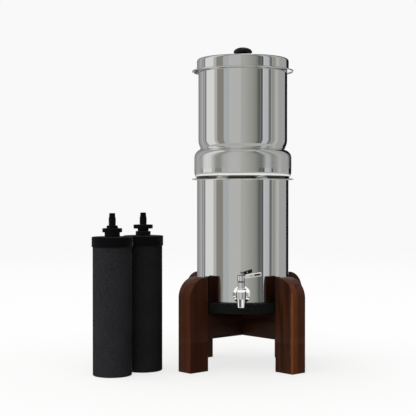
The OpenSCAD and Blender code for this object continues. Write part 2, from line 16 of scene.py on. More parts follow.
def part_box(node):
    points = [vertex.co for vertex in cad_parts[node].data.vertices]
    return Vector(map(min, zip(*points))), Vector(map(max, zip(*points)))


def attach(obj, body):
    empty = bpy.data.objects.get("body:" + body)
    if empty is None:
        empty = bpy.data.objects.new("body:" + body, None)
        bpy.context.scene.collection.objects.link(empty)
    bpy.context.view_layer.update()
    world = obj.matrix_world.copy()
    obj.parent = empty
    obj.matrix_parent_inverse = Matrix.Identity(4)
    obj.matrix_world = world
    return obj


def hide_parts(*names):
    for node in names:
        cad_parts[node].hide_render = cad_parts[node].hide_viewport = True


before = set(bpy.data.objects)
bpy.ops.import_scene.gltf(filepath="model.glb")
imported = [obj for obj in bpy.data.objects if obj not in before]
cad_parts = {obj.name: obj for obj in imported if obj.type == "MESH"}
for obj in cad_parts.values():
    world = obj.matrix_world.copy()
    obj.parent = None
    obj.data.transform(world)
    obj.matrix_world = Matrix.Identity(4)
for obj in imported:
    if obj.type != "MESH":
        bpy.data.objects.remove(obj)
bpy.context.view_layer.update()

log = logging.getLogger("water_filter")

Point = Tuple[float, float, float]
Colour = Tuple[float, float, float]
Span = Tuple[float, float]
Mesh = bmesh.types.BMesh
Material = bpy.types.Material
Node = bpy.types.Node
Socket = bpy.types.NodeSocket
Tree = bpy.types.NodeTree
Value = Union[Socket, float, Tuple[float, ...]]

MM = 0.001
FULL_TURN = math.tau
MERGE_GAP = 0.004 * MM
ON_AXIS = 1e-7
SUPPORT = 0.12 * MM
BOARD_CORNER_RINGS = 28
SHEET_FACETS = 256
SMOOTH_UNDER = 35.0


class Axis(Enum):
    """The axis that a shape is turned about."""

    ACROSS = "X"
    DEEP = "Y"
    UPRIGHT = "Z"


class Grain(Enum):
    """The direction that wood fibres run in a piece, before the piece is turned to its place."""

    UPRIGHT = "upright"
    LENGTHWISE = "lengthwise"


def points_of(geometry: Sequence[object]) -> List[bmesh.types.BMVert]:
    """Picks the vertices out of an operator's result."""
    return [part for part in geometry if isinstance(part, bmesh.types.BMVert)]


class Outline:
    """A sheet's face in the plane of radius and height, drawn by one travelling vertex."""

    def __init__(self, radius: float, height: float) -> None:
        """Starts the outline at a distance from the axis and a height."""
        self.mesh = bmesh.new()
        self.tip = self.mesh.verts.new((radius, 0.0, height))

    def line(self, radius: float, height: float, support: float = 0.0) -> None:
        """Draws a straight stretch to a point.

        Args:
            radius: distance of the end from the axis.
            height: height of the end.
            support: distance from each end at which an extra point keeps the wall's shading straight.
        """
        start, end = self.tip.co.copy(), Vector((radius, 0.0, height))
        stops = [end]
        if support and (end - start).length > 3 * support:
            step = (end - start).normalized() * support
            stops = [start + step, end - step, end]
        for stop in stops:
            made = bmesh.ops.extrude_vert_indiv(self.mesh, verts=[self.tip])
            self.tip = made["verts"][0]
            self.tip.co = stop

    def bend(self, radius: float, height: float, degrees: float, steps: int) -> None:
        """Carries the tip round a centre.

        Args:
            radius: distance of the centre from the axis.
            height: height of the centre.
            degrees: turn, anticlockwise with the axis on the left.
            steps: number of edges.
        """
        made = bmesh.ops.spin(
            self.mesh, geom=[self.tip], cent=(radius, 0.0, height), axis=(0.0, -1.0, 0.0),
            angle=math.radians(degrees), steps=steps, use_duplicate=False,
        )
        self.tip = points_of(made["geom_last"])[0]

    def oval(self, radius: float, height: float, steps: int, squash: float) -> None:
        """Carries the tip a quarter turn round a centre along an oval.

        Args:
            radius: distance of the centre from the axis.
            height: height of the centre.
            steps: number of edges.
            squash: height of the oval as a share of its width.
        """
        before = set(self.mesh.verts) - {self.tip}
        self.tip.co.z = height + (self.tip.co.z - height) / squash
        self.bend(radius, height, 90.0, steps)
        for vertex in set(self.mesh.verts) - before:
            vertex.co.z = height + (vertex.co.z - height) * squash


def spin_round(mesh: Mesh, steps: int) -> None:
    """Turns a drawn profile into a closed skin round the upright axis.

    Args:
        mesh: the profile's vertices and edges.
        steps: number of facets round the axis.
    """
    bmesh.ops.spin(
        mesh, geom=mesh.verts[:] + mesh.edges[:], cent=(0.0, 0.0, 0.0), axis=(0.0, 0.0, 1.0),
        angle=FULL_TURN, steps=steps, use_merge=True, use_duplicate=False,
    )
    bmesh.ops.remove_doubles(mesh, verts=mesh.verts[:], dist=MERGE_GAP)


def face_outwards(mesh: Mesh) -> None:
    """Makes every face of a closed shell point outwards.

    Args:
        mesh: the shell.
    """
    bmesh.ops.recalc_face_normals(mesh, faces=mesh.faces[:])
    if mesh.calc_volume(signed=True) < 0:
        bmesh.ops.reverse_faces(mesh, faces=mesh.faces[:])


def sheet_metal(outline: Outline, thickness: float) -> Mesh:
    """Spins an outline and gives it the thickness of its sheet on the side of the axis.

    Args:
        outline: the outer face, drawn from the axis outwards and upwards, or downwards for a lid.
        thickness: the sheet's thickness.

    Returns:
        The closed shell.
    """
    mesh = outline.mesh
    spin_round(mesh, SHEET_FACETS)
    bmesh.ops.recalc_face_normals(mesh, faces=mesh.faces[:])
    wall_from = 40 * MM
    wall = max(mesh.faces, key=lambda f: f.calc_area() * (f.calc_center_median().xy.length > wall_from))
    middle = wall.calc_center_median()
    if wall.normal.dot(Vector((middle.x, middle.y, 0.0))) < 0:
        bmesh.ops.reverse_faces(mesh, faces=mesh.faces[:])
    bmesh.ops.solidify(mesh, geom=mesh.faces[:], thickness=thickness)
    face_outwards(mesh)
    return mesh


def support_lines(mesh: Mesh) -> None:
    """Adds a point near each end of a profile's straight stretches, so that walls keep straight shading.

    Args:
        mesh: the profile.
    """
    for edge in [e for e in mesh.edges if e.calc_length() > 8 * SUPPORT]:
        near, far = edge.verts
        length = edge.calc_length()
        middle = bmesh.utils.edge_split(edge, near, SUPPORT / length)[1]
        rest = [e for e in middle.link_edges if e.other_vert(middle) == far][0]
        bmesh.utils.edge_split(rest, far, SUPPORT / (length - SUPPORT))


def section(corners: Sequence[Point], depth: float, rings: int) -> Mesh:
    """Draws a flat face with rounded corners.

    Args:
        corners: place along X, place along Z and rounding of each corner, in order.
        depth: where the face lies along Y.
        rings: number of edges across each rounding.

    Returns:
        The face.
    """
    mesh = bmesh.new()
    points = [mesh.verts.new((x, depth, z)) for x, z, _ in corners]
    mesh.faces.new(points)
    for size in sorted({corner[2] for corner in corners if corner[2] > 0}):
        chosen = [point for point, corner in zip(points, corners) if corner[2] == size]
        bmesh.ops.bevel(
            mesh, geom=chosen, offset=size, segments=rings, profile=0.5, affect="VERTICES", material=-1,
        )
    return mesh


def turned(corners: Sequence[Point], steps: int, rings: int = 3) -> Mesh:
    """Turns a solid piece on a lathe.

    Args:
        corners: radius, height and rounding of each corner of the half section, in order.
        steps: number of facets round the axis.
        rings: number of edges across each rounding.

    Returns:
        The closed solid, with its axis upright through the origin.
    """
    mesh = section(corners, 0.0, rings)
    bmesh.ops.delete(mesh, geom=mesh.faces[:], context="FACES_ONLY")
    on_axis = [e for e in mesh.edges if all(abs(v.co.x) < ON_AXIS for v in e.verts)]
    bmesh.ops.delete(mesh, geom=on_axis, context="EDGES")
    support_lines(mesh)
    spin_round(mesh, steps)
    face_outwards(mesh)
    return mesh


def rod(radius: float, heights: Span, steps: int, rounding: Span = (0.0, 0.0), rings: int = 3) -> Mesh:
    """Turns a plain rod.

    Args:
        radius: its radius.
        heights: its lower and its upper end.
        steps: number of facets round it.
        rounding: rounding of its lower and its upper edge.
        rings: number of edges across each rounding.

    Returns:
        The closed rod.
    """
    low, high = heights
    corners = ((0.0, low, 0.0), (radius, low, rounding[0]), (radius, high, rounding[1]), (0.0, high, 0.0))
    return turned(corners, steps, rings)


def draw_out(mesh: Mesh, way: Point) -> None:
    """Draws a flat face out into a closed solid.

    Args:
        mesh: the face.
        way: how far and which way it is drawn.
    """
    made = bmesh.ops.extrude_face_region(mesh, geom=mesh.faces[:])
    bmesh.ops.translate(mesh, verts=points_of(made["geom"]), vec=way)
    face_outwards(mesh)


def slab(corners: Sequence[Point], thickness: float, edge: float) -> Mesh:
    """Saws a board from its outline and rounds its edges.

    Args:
        corners: length, height and rounding of each corner of the board's face, in order.
        thickness: the board's thickness, half to each side of the face's plane.
        edge: rounding of all the long edges.

    Returns:
        The closed board, with its face in the plane of X and Z.
    """
    mesh = section(corners, -thickness / 2, BOARD_CORNER_RINGS)
    draw_out(mesh, (0.0, thickness, 0.0))
    round_edges(mesh, edge, 30.0)
    return mesh


def round_edges(mesh: Mesh, size: float, sharper_than: float) -> None:
    """Rounds the edges of a mesh that are sharper than an angle.

    Args:
        mesh: the mesh.
        size: the rounding's width.
        sharper_than: degrees between two faces from which their edge is rounded.
    """
    limit = math.radians(sharper_than)
    sharp = [e for e in mesh.edges if len(e.link_faces) == 2 and e.calc_face_angle(0.0) > limit]
    bmesh.ops.bevel(
        mesh, geom=sharp, offset=size, segments=3, profile=0.5, affect="EDGES", material=-1,
        clamp_overlap=True, loop_slide=True,
    )


def move(mesh: Mesh, place: Point) -> Mesh:
    """Moves a whole mesh and returns it."""
    bmesh.ops.translate(mesh, verts=mesh.verts[:], vec=place)
    return mesh


def turn(mesh: Mesh, degrees: float, axis: Axis = Axis.UPRIGHT) -> Mesh:
    """Turns a whole mesh about an axis through the origin and returns it.

    Args:
        mesh: the mesh.
        degrees: how far it is turned.
        axis: what it is turned about.

    Returns:
        The same mesh.
    """
    matrix = Matrix.Rotation(math.radians(degrees), 3, axis.value)
    bmesh.ops.rotate(mesh, verts=mesh.verts[:], cent=(0.0, 0.0, 0.0), matrix=matrix)
    return mesh


def joined(meshes: Sequence[Mesh]) -> Mesh:
    """Puts several meshes into the first one and frees the rest.

    Args:
        meshes: the meshes to join.

    Returns:
        The first mesh with all the others in it.
    """
    whole = meshes[0]
    for extra in meshes[1:]:
        carrier = bpy.data.meshes.new("carrier")
        extra.to_mesh(carrier)
        extra.free()
        whole.from_mesh(carrier)
        bpy.data.meshes.remove(carrier)
    return whole


def cut_away(mesh: Mesh, cutters: Sequence[Mesh]) -> Mesh:
    """Drills cutters out of a mesh.

    Args:
        mesh: the mesh to drill.
        cutters: closed solids to take away.

    Returns:
        The drilled mesh.
    """
    body = as_object("being_drilled", mesh)
    tools = []
    for number, cutter in enumerate(cutters):
        tool = as_object(f"drill_{number}", cutter)
        tools.append(tool)
        change = body.modifiers.new(f"drill_{number}", "BOOLEAN")
        change.operation = "DIFFERENCE"
        change.solver = "EXACT"
        change.object = tool
    bpy.context.view_layer.update()
    drilled = bpy.data.meshes.new_from_object(body.evaluated_get(bpy.context.evaluated_depsgraph_get()))
    result = bmesh.new()
    result.from_mesh(drilled)
    for thing in [body] + tools:
        data = thing.data
        bpy.data.objects.remove(thing)
        bpy.data.meshes.remove(data)
    bpy.data.meshes.remove(drilled)
    return result


def as_object(name: str, mesh: Mesh, smooth_under: float = SMOOTH_UNDER) -> bpy.types.Object:
    """Makes a shown object of a mesh and frees the mesh.

    Args:
        name: the object's name.
        mesh: its geometry, already in place.
        smooth_under: degrees between faces under which their edge is shaded smooth.

    Returns:
        The object, at the origin and unturned.
    """
    data = bpy.data.meshes.new(name)
    mesh.to_mesh(data)
    mesh.free()
    data.shade_smooth()
    data.set_sharp_from_angle(angle=math.radians(smooth_under))
    piece = bpy.data.objects.new(name, data)
    bpy.context.scene.collection.objects.link(piece)
    return piece


@dataclass(frozen=True)
class Place:
    """Where a piece belongs: the body that it rides on, its material slot and the nodes it stands for."""

    body: str
    slot: str
    nodes: Tuple[str, ...]


def settle(name: str, mesh: Mesh, place: Place, material: Material,
           smooth_under: float = SMOOTH_UNDER) -> bpy.types.Object:
    """Finishes a piece and puts it on its body.

    Args:
        name: the piece's name.
        mesh: its geometry, already in place.
        place: its body, slot and nodes.
        material: its finish.
        smooth_under: degrees between faces under which their edge is shaded smooth.

    Returns:
        The piece.
    """
    piece = as_object(name, mesh, smooth_under)
    piece.data.materials.append(material)
    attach(piece, place.body)
    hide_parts(*place.nodes)
    log.info("%s: %d faces on %s", name, len(piece.data.polygons), place.body)
    return piece


def dress_node(name: str, material: Material) -> None:
    """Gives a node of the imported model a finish.

    Args:
        name: the node.
        material: the finish.
    """
    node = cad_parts[name]
    node.data.materials.clear()
    node.data.materials.append(material)
    log.info("%s: dressed in %s", name, material.name)


class Nodes:
    """Builds a node tree in few words."""

    def __init__(self, tree: Tree) -> None:
        """Keeps the tree to add to."""
        self.tree = tree

    def feed(self, value: Value, target: Socket) -> None:
        """Links a socket to an input, or sets the input to a number, place or colour.

        Args:
            value: what the input gets.
            target: the input.
        """
        if isinstance(value, Socket):
            self.tree.links.new(value, target)
        elif target.type == "RGBA":
            target.default_value = (*value, 1.0)
        else:
            target.default_value = value

    def add(self, kind: str, inputs: Optional[Dict[object, Value]] = None, **settings: object) -> Node:
        """Adds a node.

        Args:
            kind: the node's type name.
            inputs: what each named or numbered input gets.
            settings: properties of the node.

        Returns:
            The new node.
        """
        node = self.tree.nodes.new(kind)
        for name, value in settings.items():
            setattr(node, name, value)
        for name, value in (inputs or {}).items():
            self.feed(value, node.inputs[name])
        return node

    def math(self, operation: str, first: Value, second: Value = 0.0) -> Socket:
        """Adds a Math node and gives its output."""
        return self.add("ShaderNodeMath", {0: first, 1: second}, operation=operation).outputs[0]

    def spread(self, value: Socket, start: Value, stop: Value, low: Value = 0.0, high: Value = 1.0) -> Socket:
        """Maps a value smoothly from one range to another.

        Args:
            value: the socket to map.
            start: the value that gives low.
            stop: the value that gives high.
            low: the result at the start.
            high: the result at the stop.

        Returns:
            The mapped value.
        """
        ranges = {"Value": value, "From Min": start, "From Max": stop, "To Min": low, "To Max": high}
        return self.add("ShaderNodeMapRange", ranges, interpolation_type="SMOOTHSTEP").outputs["Result"]

    def mix(self, share: Value, first: Value, second: Value, way: str = "MIX") -> Socket:
        """Mixes two colours.

        Args:
            share: how much of the second one shows.
            first: the colour below.
            second: the colour above.
            way: the node's way of mixing.

        Returns:
            The mixed colour.
        """
        inputs = {"Factor": share, "A": first, "B": second}
        return self.add("ShaderNodeMix", inputs, data_type="RGBA", blend_type=way).outputs["Result"]

    def blend(self, share: Value, first: Node, second: Node) -> Node:
        """Blends the lights of two shader nodes."""
        return self.add("ShaderNodeMixShader", {0: share, 1: first.outputs[0], 2: second.outputs[0]})

    def noise(self, vector: Socket, scale: Value, detail: float, distortion: float = 0.0) -> Socket:
        """Adds a noise pattern.

        Args:
            vector: where the pattern's coordinates come from.
            scale: how close its features lie.
            detail: how many finer octaves it has.
            distortion: how far it wanders.

        Returns:
            The pattern.
        """
        inputs = {"Vector": vector, "Scale": scale, "Detail": detail, "Distortion": distortion}
        return self.add("ShaderNodeTexNoise", inputs).outputs["Fac"]

    def mapped(self, vector: Socket, values: Dict[str, Value]) -> Socket:
        """Moves, turns or stretches coordinates."""
        return self.add("ShaderNodeMapping", {"Vector": vector, **values}).outputs["Vector"]

    def split(self, vector: Socket) -> Sequence[Socket]:
        """Gives the three parts of a vector."""
        return self.add("ShaderNodeSeparateXYZ", {0: vector}).outputs[:]

    def measured(self, vector: Socket, centre: Value) -> Socket:
        """Gives a place as measured from a centre."""
        return self.add("ShaderNodeVectorMath", {0: vector, 1: centre}, operation="SUBTRACT").outputs[0]

    def length(self, vector: Socket) -> Socket:
        """Gives a vector's length."""
        return self.add("ShaderNodeVectorMath", {0: vector}, operation="LENGTH").outputs["Value"]

    def azimuth(self, x: Socket, y: Socket) -> Socket:
        """Gives the azimuth of a place as a share of a full turn, from straight behind by the left."""
        angle = self.math("ARCTAN2", x, self.math("MULTIPLY", y, -1.0))
        return self.math("ADD", self.math("DIVIDE", angle, FULL_TURN), 0.5)

    def ramp(self, share: Value, stops: Sequence[Tuple[float, Colour]]) -> Socket:
        """Adds a colour ramp.

        Args:
            share: where on the ramp the colour is read.
            stops: place and colour of each stop.

        Returns:
            The colour.
        """
        node = self.add("ShaderNodeValToRGB", {"Fac": share})
        points = node.color_ramp.elements
        points.remove(points[-1])
        points[0].position = stops[0][0]
        points[0].color = (*stops[0][1], 1.0)
        for place, colour in stops[1:]:
            points.new(place).color = (*colour, 1.0)
        return node.outputs["Color"]


SOCKET_KINDS = {
    "Vector": "NodeSocketVector", "Centre": "NodeSocketVector", "Dark": "NodeSocketColor",
    "Middle": "NodeSocketColor", "Light": "NodeSocketColor", "Colour": "NodeSocketColor",
}


class Pattern(Nodes):
    """A shader group that several finishes share."""

    def __init__(self, name: str, inputs: Sequence[str], outputs: Sequence[str]) -> None:
        """Starts the group.

        Args:
            name: the group's name.
            inputs: names of its inputs.
            outputs: names of its outputs.
        """
        super().__init__(bpy.data.node_groups.new(name, "ShaderNodeTree"))
        for direction, labels in (("INPUT", inputs), ("OUTPUT", outputs)):
            for label in labels:
                kind = SOCKET_KINDS.get(label, "NodeSocketFloat")
                self.tree.interface.new_socket(name=label, in_out=direction, socket_type=kind)
        self.given = self.add("NodeGroupInput").outputs
        self.out = self.add("NodeGroupOutput").inputs


class Handling(Pattern):
    """The uneven polish that hands and cloths leave: a roughness that drifts, and a faint waviness."""

    broad_detail: float = 4.0
    fine_detail: float = 2.0
    fine_scale: float = 9.0
    broad_share: float = 0.7
    fine_share: float = 0.3
    drift: Span = (0.35, 0.65)

    def __init__(self) -> None:
        """Builds the group."""
        super().__init__("handling", ("Vector", "Scale", "Smoothest", "Roughest"), ("Roughness", "Height"))
        where, scale = self.given["Vector"], self.given["Scale"]
        broad = self.noise(where, scale, self.broad_detail)
        fine = self.noise(where, self.math("MULTIPLY", scale, self.fine_scale), self.fine_detail)
        fine_part = self.math("MULTIPLY", fine, self.fine_share)
        both = self.math("ADD", self.math("MULTIPLY", broad, self.broad_share), fine_part)
        rough = self.spread(both, *self.drift, self.given["Smoothest"], self.given["Roughest"])
        self.feed(rough, self.out["Roughness"])
        self.feed(broad, self.out["Height"])


class Grit(Pattern):
    """Fine grains: packed grit with pits between the grains."""

    pit_scale: float = 0.35
    pit_detail: float = 3.0
    pit_edges: Span = (0.52, 0.68)

    def __init__(self) -> None:
        """Builds the group."""
        super().__init__("grit", ("Vector", "Scale", "Pits"), ("Height", "Mask"))
        where, scale = self.given["Vector"], self.given["Scale"]
        grains = self.add("ShaderNodeTexVoronoi", {"Vector": where, "Scale": scale}).outputs["Distance"]
        pits = self.noise(where, self.math("MULTIPLY", scale, self.pit_scale), self.pit_detail)
        mask = self.spread(pits, *self.pit_edges)
        hollow = self.math("MULTIPLY", mask, self.given["Pits"])
        self.feed(self.math("SUBTRACT", self.math("SUBTRACT", 1.0, grains), hollow), self.out["Height"])
        self.feed(mask, self.out["Mask"])


class WoodFibres(Pattern):
    """Wood whose fibres run along Z: wandering growth rings, fine fibres and open pores."""

    ring_stretch: float = 0.07
    ring_scale: float = 28.0
    ring_detail: float = 3.0
    ring_wander: float = 0.6
    ring_count: float = 34.0
    ring_share: float = 0.55
    fibre_stretch: float = 0.018
    fibre_scale: float = 900.0
    fibre_detail: float = 2.0
    fibre_share: float = 0.45
    fibre_height: float = 0.4
    fibre_edges: Span = (0.3, 0.7)
    pore_scale: float = 420.0
    pore_edges: Span = (0.64, 0.72)
    pore_share: float = 0.7
    streak_scale: float = 46.0
    streak_edges: Span = (0.56, 0.72)
    plain_detail: float = 1.0
    roughness: Span = (0.38, 0.52)

    def __init__(self) -> None:
        """Builds the group."""
        inputs = ("Vector", "Dark", "Middle", "Light", "Streaks")
        super().__init__("wood_fibres", inputs, ("Colour", "Roughness", "Height"))
        given = self.given
        drawn_out = self.mapped(given["Vector"], {"Scale": (1.0, 1.0, self.ring_stretch)})
        stretched = self.mapped(given["Vector"], {"Scale": (1.0, 1.0, self.fibre_stretch)})
        wander = self.noise(drawn_out, self.ring_scale, self.ring_detail, self.ring_wander)
        tone = self.spread(self.math("SINE", self.math("MULTIPLY", wander, self.ring_count)), -1.0, 1.0)
        fibres = self.noise(stretched, self.fibre_scale, self.fibre_detail)
        pores = self.spread(self.noise(drawn_out, self.pore_scale, self.plain_detail), *self.pore_edges)
        bands = self.spread(self.noise(stretched, self.streak_scale, self.plain_detail), *self.streak_edges)
        fibre_part = self.math("MULTIPLY", fibres, self.fibre_share)
        grain = self.math("ADD", self.math("MULTIPLY", tone, self.ring_share), fibre_part)
        colour = self.mix(grain, given["Dark"], given["Middle"])
        colour = self.mix(self.math("MULTIPLY", bands, given["Streaks"]), colour, given["Light"])
        colour = self.mix(self.math("MULTIPLY", pores, self.pore_share), colour, given["Dark"])
        height = self.math("SUBTRACT", self.math("MULTIPLY", fibres, self.fibre_height), pores)
        self.feed(colour, self.out["Colour"])
        self.feed(self.spread(fibres, *self.fibre_edges, *self.roughness), self.out["Roughness"])
        self.feed(height, self.out["Height"])


class Band(Pattern):
    """A mask of a ring round an upright axis: 1 between two heights and two radii, 0 outside them."""

    def __init__(self) -> None:
        """Builds the group."""
        super().__init__("band", ("Vector", "Centre", "Low", "High", "Inner", "Outer", "Soft"), ("Mask",))
        given, soft = self.given, self.given["Soft"]
        x, y, z = self.split(self.measured(given["Vector"], given["Centre"]))
        square = self.math("ADD", self.math("MULTIPLY", x, x), self.math("MULTIPLY", y, y))
        radius = self.math("SQRT", square)
        mask = self.spread(z, given["Low"], self.math("ADD", given["Low"], soft))
        for value, limit in ((z, "High"), (radius, "Outer")):
            start = self.math("SUBTRACT", given[limit], soft)
            mask = self.math("MULTIPLY", mask, self.spread(value, start, given[limit], 1.0, 0.0))
        past_inner = self.spread(radius, given["Inner"], self.math("ADD", given["Inner"], soft))
        self.feed(self.math("MULTIPLY", mask, past_inner), self.out["Mask"])


class Workshop:
    """Holds the shared patterns, each built once."""

    def __init__(self) -> None:
        """Builds the patterns."""
        self.handling = Handling().tree
        self.grit = Grit().tree
        self.wood = WoodFibres().tree
        self.band = Band().tree


class Recipe(Nodes):
    """A material in the making: its nodes, its shader and the place on the object."""

    def __init__(self, name: str) -> None:
        """Starts the material.

        Args:
            name: the material's name.
        """
        self.material = bpy.data.materials.new(name)
        self.material.use_nodes = True
        super().__init__(self.material.node_tree)
        self.shader = self.tree.nodes["Principled BSDF"]
        self.where = self.add("ShaderNodeTexCoord").outputs["Object"]

    def shade(self, values: Dict[str, Value]) -> None:
        """Feeds the shader's named inputs."""
        for name, value in values.items():
            self.feed(value, self.shader.inputs[name])

    def pattern(self, group: Tree, vector: Socket, values: Dict[str, Value]) -> Dict[str, Socket]:
        """Puts a shared pattern in.

        Args:
            group: the pattern's group.
            vector: where its coordinates come from.
            values: this material's own values of its inputs.

        Returns:
            The pattern's outputs by name.
        """
        node = self.add("ShaderNodeGroup", {"Vector": vector, **values}, node_tree=group)
        return dict(node.outputs.items())

    def bump(self, height: Socket, strength: float, depth: float) -> None:
        """Raises a height pattern on the shader.

        Args:
            height: the pattern.
            strength: how strongly it shows.
            depth: its depth in metres.
        """
        raised = self.add("ShaderNodeBump", {"Strength": strength, "Distance": depth, "Height": height})
        self.shade({"Normal": raised.outputs["Normal"]})


@dataclass(frozen=True)
class PolishedMetal:
    """Bright metal: polished sheet steel, or chrome on brass."""

    name: str
    tint: Colour
    smoothest: float
    roughest: float
    wave_scale: float
    wave_depth: float

    def make(self, shop: Workshop) -> Material:
        """Builds the material from the shop's patterns."""
        return self.start(shop, self.name)[0].material

    def start(self, shop: Workshop, name: str) -> Tuple[Recipe, Socket]:
        """Builds the plain finish.

        Args:
            shop: the shared patterns.
            name: the material's name.

        Returns:
            The material in the making, and its roughness pattern.
        """
        recipe = Recipe(name)
        wear_and_shade = recipe.pattern(shop.handling, recipe.where, {
            "Scale": self.wave_scale, "Smoothest": self.smoothest, "Roughest": self.roughest})
        recipe.shade({"Base Color": self.tint, "Metallic": 1.0, "Roughness": wear_and_shade["Roughness"]})
        recipe.bump(wear_and_shade["Height"], 1.0, self.wave_depth)
        return recipe, wear_and_shade["Roughness"]


STEEL = PolishedMetal("polished_steel", (0.80, 0.80, 0.79), 0.035, 0.075, 16.0, 0.012 * MM)
CHROME = PolishedMetal("chrome", (0.96, 0.96, 0.955), 0.03, 0.07, 60.0, 0.004 * MM)


@dataclass(frozen=True)
class ChamberSteel:
    """Polished steel with a duller bulge, and a painted shadow in the crevice where the upper chamber sits on
    the lower one, left out at two gaps where the joint mirrors light.
    """

    centre: Point
    metal: PolishedMetal = STEEL
    dull: Span = (338 * MM, 372 * MM)
    dull_reach: Span = (0.0, 1.0)
    dull_soft: float = 6 * MM
    dull_roughness: float = 0.23
    # painted shadow in the crevice of the joint, left out at two gaps at gap_middle on either side of the
    # axis
    shadow_heights: Span = (323.5 * MM, 326.2 * MM)
    shadow_reach: Span = (79 * MM, 90 * MM)
    shadow_soft: float = 0.4 * MM
    painted_shadow_tint: Colour = (0.12, 0.115, 0.10)
    gap_middle: float = 34 * MM
    gap_half: float = 9 * MM
    gap_soft: float = 4 * MM

    def make(self, shop: Workshop) -> Material:
        """Builds the material.

        Args:
            shop: the shared patterns.

        Returns:
            The material.
        """
        recipe, roughness = self.metal.start(shop, "chamber_steel")
        bulge = self.ring(recipe, shop, self.dull, self.dull_reach, self.dull_soft)
        # painted shadow band in the joint's crevice
        painted_shadow = self.ring(recipe, shop, self.shadow_heights, self.shadow_reach, self.shadow_soft)
        dull = recipe.math("MULTIPLY", bulge, self.dull_roughness)
        x = recipe.split(recipe.measured(recipe.where, self.centre))[0]
        past_gap = recipe.math("SUBTRACT", recipe.math("ABSOLUTE", x), self.gap_middle)
        off_gap = recipe.math("ABSOLUTE", past_gap)
        outside_light_gaps = recipe.spread(off_gap, self.gap_half - self.gap_soft, self.gap_half + self.gap_soft)
        # the crevice is painted dark except at the two gaps
        tint = recipe.mix(recipe.math("MULTIPLY", painted_shadow, outside_light_gaps), self.metal.tint, self.painted_shadow_tint)
        recipe.shade({"Roughness": recipe.math("MAXIMUM", roughness, dull), "Base Color": tint})
        return recipe.material

    def ring(self, recipe: Recipe, shop: Workshop, heights: Span, reach: Span, soft: float) -> Socket:
        """Masks a ring round the tank's axis.

        Args:
            recipe: the material in the making.
            shop: the shared patterns.
            heights: its lower and its upper edge.
            reach: its inner and its outer radius.
            soft: how wide its edges fade.

        Returns:
            The mask.
        """
        return recipe.pattern(shop.band, recipe.where, {
            "Centre": self.centre, "Low": heights[0], "High": heights[1],
            "Inner": reach[0], "Outer": reach[1], "Soft": soft})["Mask"]


@dataclass(frozen=True)
class ShadedTapChrome:
    """Chrome with painted shade and painted dark reflection behind the lever's face, in its slot and hole,
    along its left edge, and in its narrow steps.
    """

    centre: Point
    front: float
    steps: Tuple[Span, ...]
    metal: PolishedMetal = CHROME
    # colour of the painted shade and painted dark reflection
    dark: Colour = (0.05, 0.048, 0.04)
    behind_front: Span = (0.15 * MM, 0.35 * MM)
    blade_from: Span = (4.5 * MM, 5.5 * MM)
    flank: Span = (-5.0 * MM, -5.3 * MM)
    step_soft: float = 0.2 * MM
    head_edge: Span = (6.5 * MM, 7.5 * MM)

    def make(self, shop: Workshop) -> Material:
        """Builds the material.

        Args:
            shop: the shared patterns.

        Returns:
            The material.
        """
        recipe, _ = self.metal.start(shop, "tap_chrome_painted_shade")
        x, y, z = recipe.split(recipe.measured(recipe.where, self.centre))
        # painted shade and dark reflection on the blade behind its front face, and along the left edge
        behind = recipe.spread(y, *(self.front + far for far in self.behind_front))
        back = recipe.math("MULTIPLY", behind, recipe.spread(x, *self.blade_from))
        mask = recipe.math("MAXIMUM", back, recipe.spread(x, *self.flank))
        # painted shadow in the narrow steps under the head and on its top
        for low, high in self.steps:
            over = recipe.spread(z, low, low + self.step_soft)
            under = recipe.spread(z, high - self.step_soft, high, 1.0, 0.0)
            near = recipe.spread(x, *self.head_edge, 1.0, 0.0)
            step = recipe.math("MULTIPLY", near, recipe.math("MULTIPLY", over, under))
            mask = recipe.math("MAXIMUM", mask, step)
        recipe.shade({"Base Color": recipe.mix(mask, self.metal.tint, self.dark)})
        return recipe.material


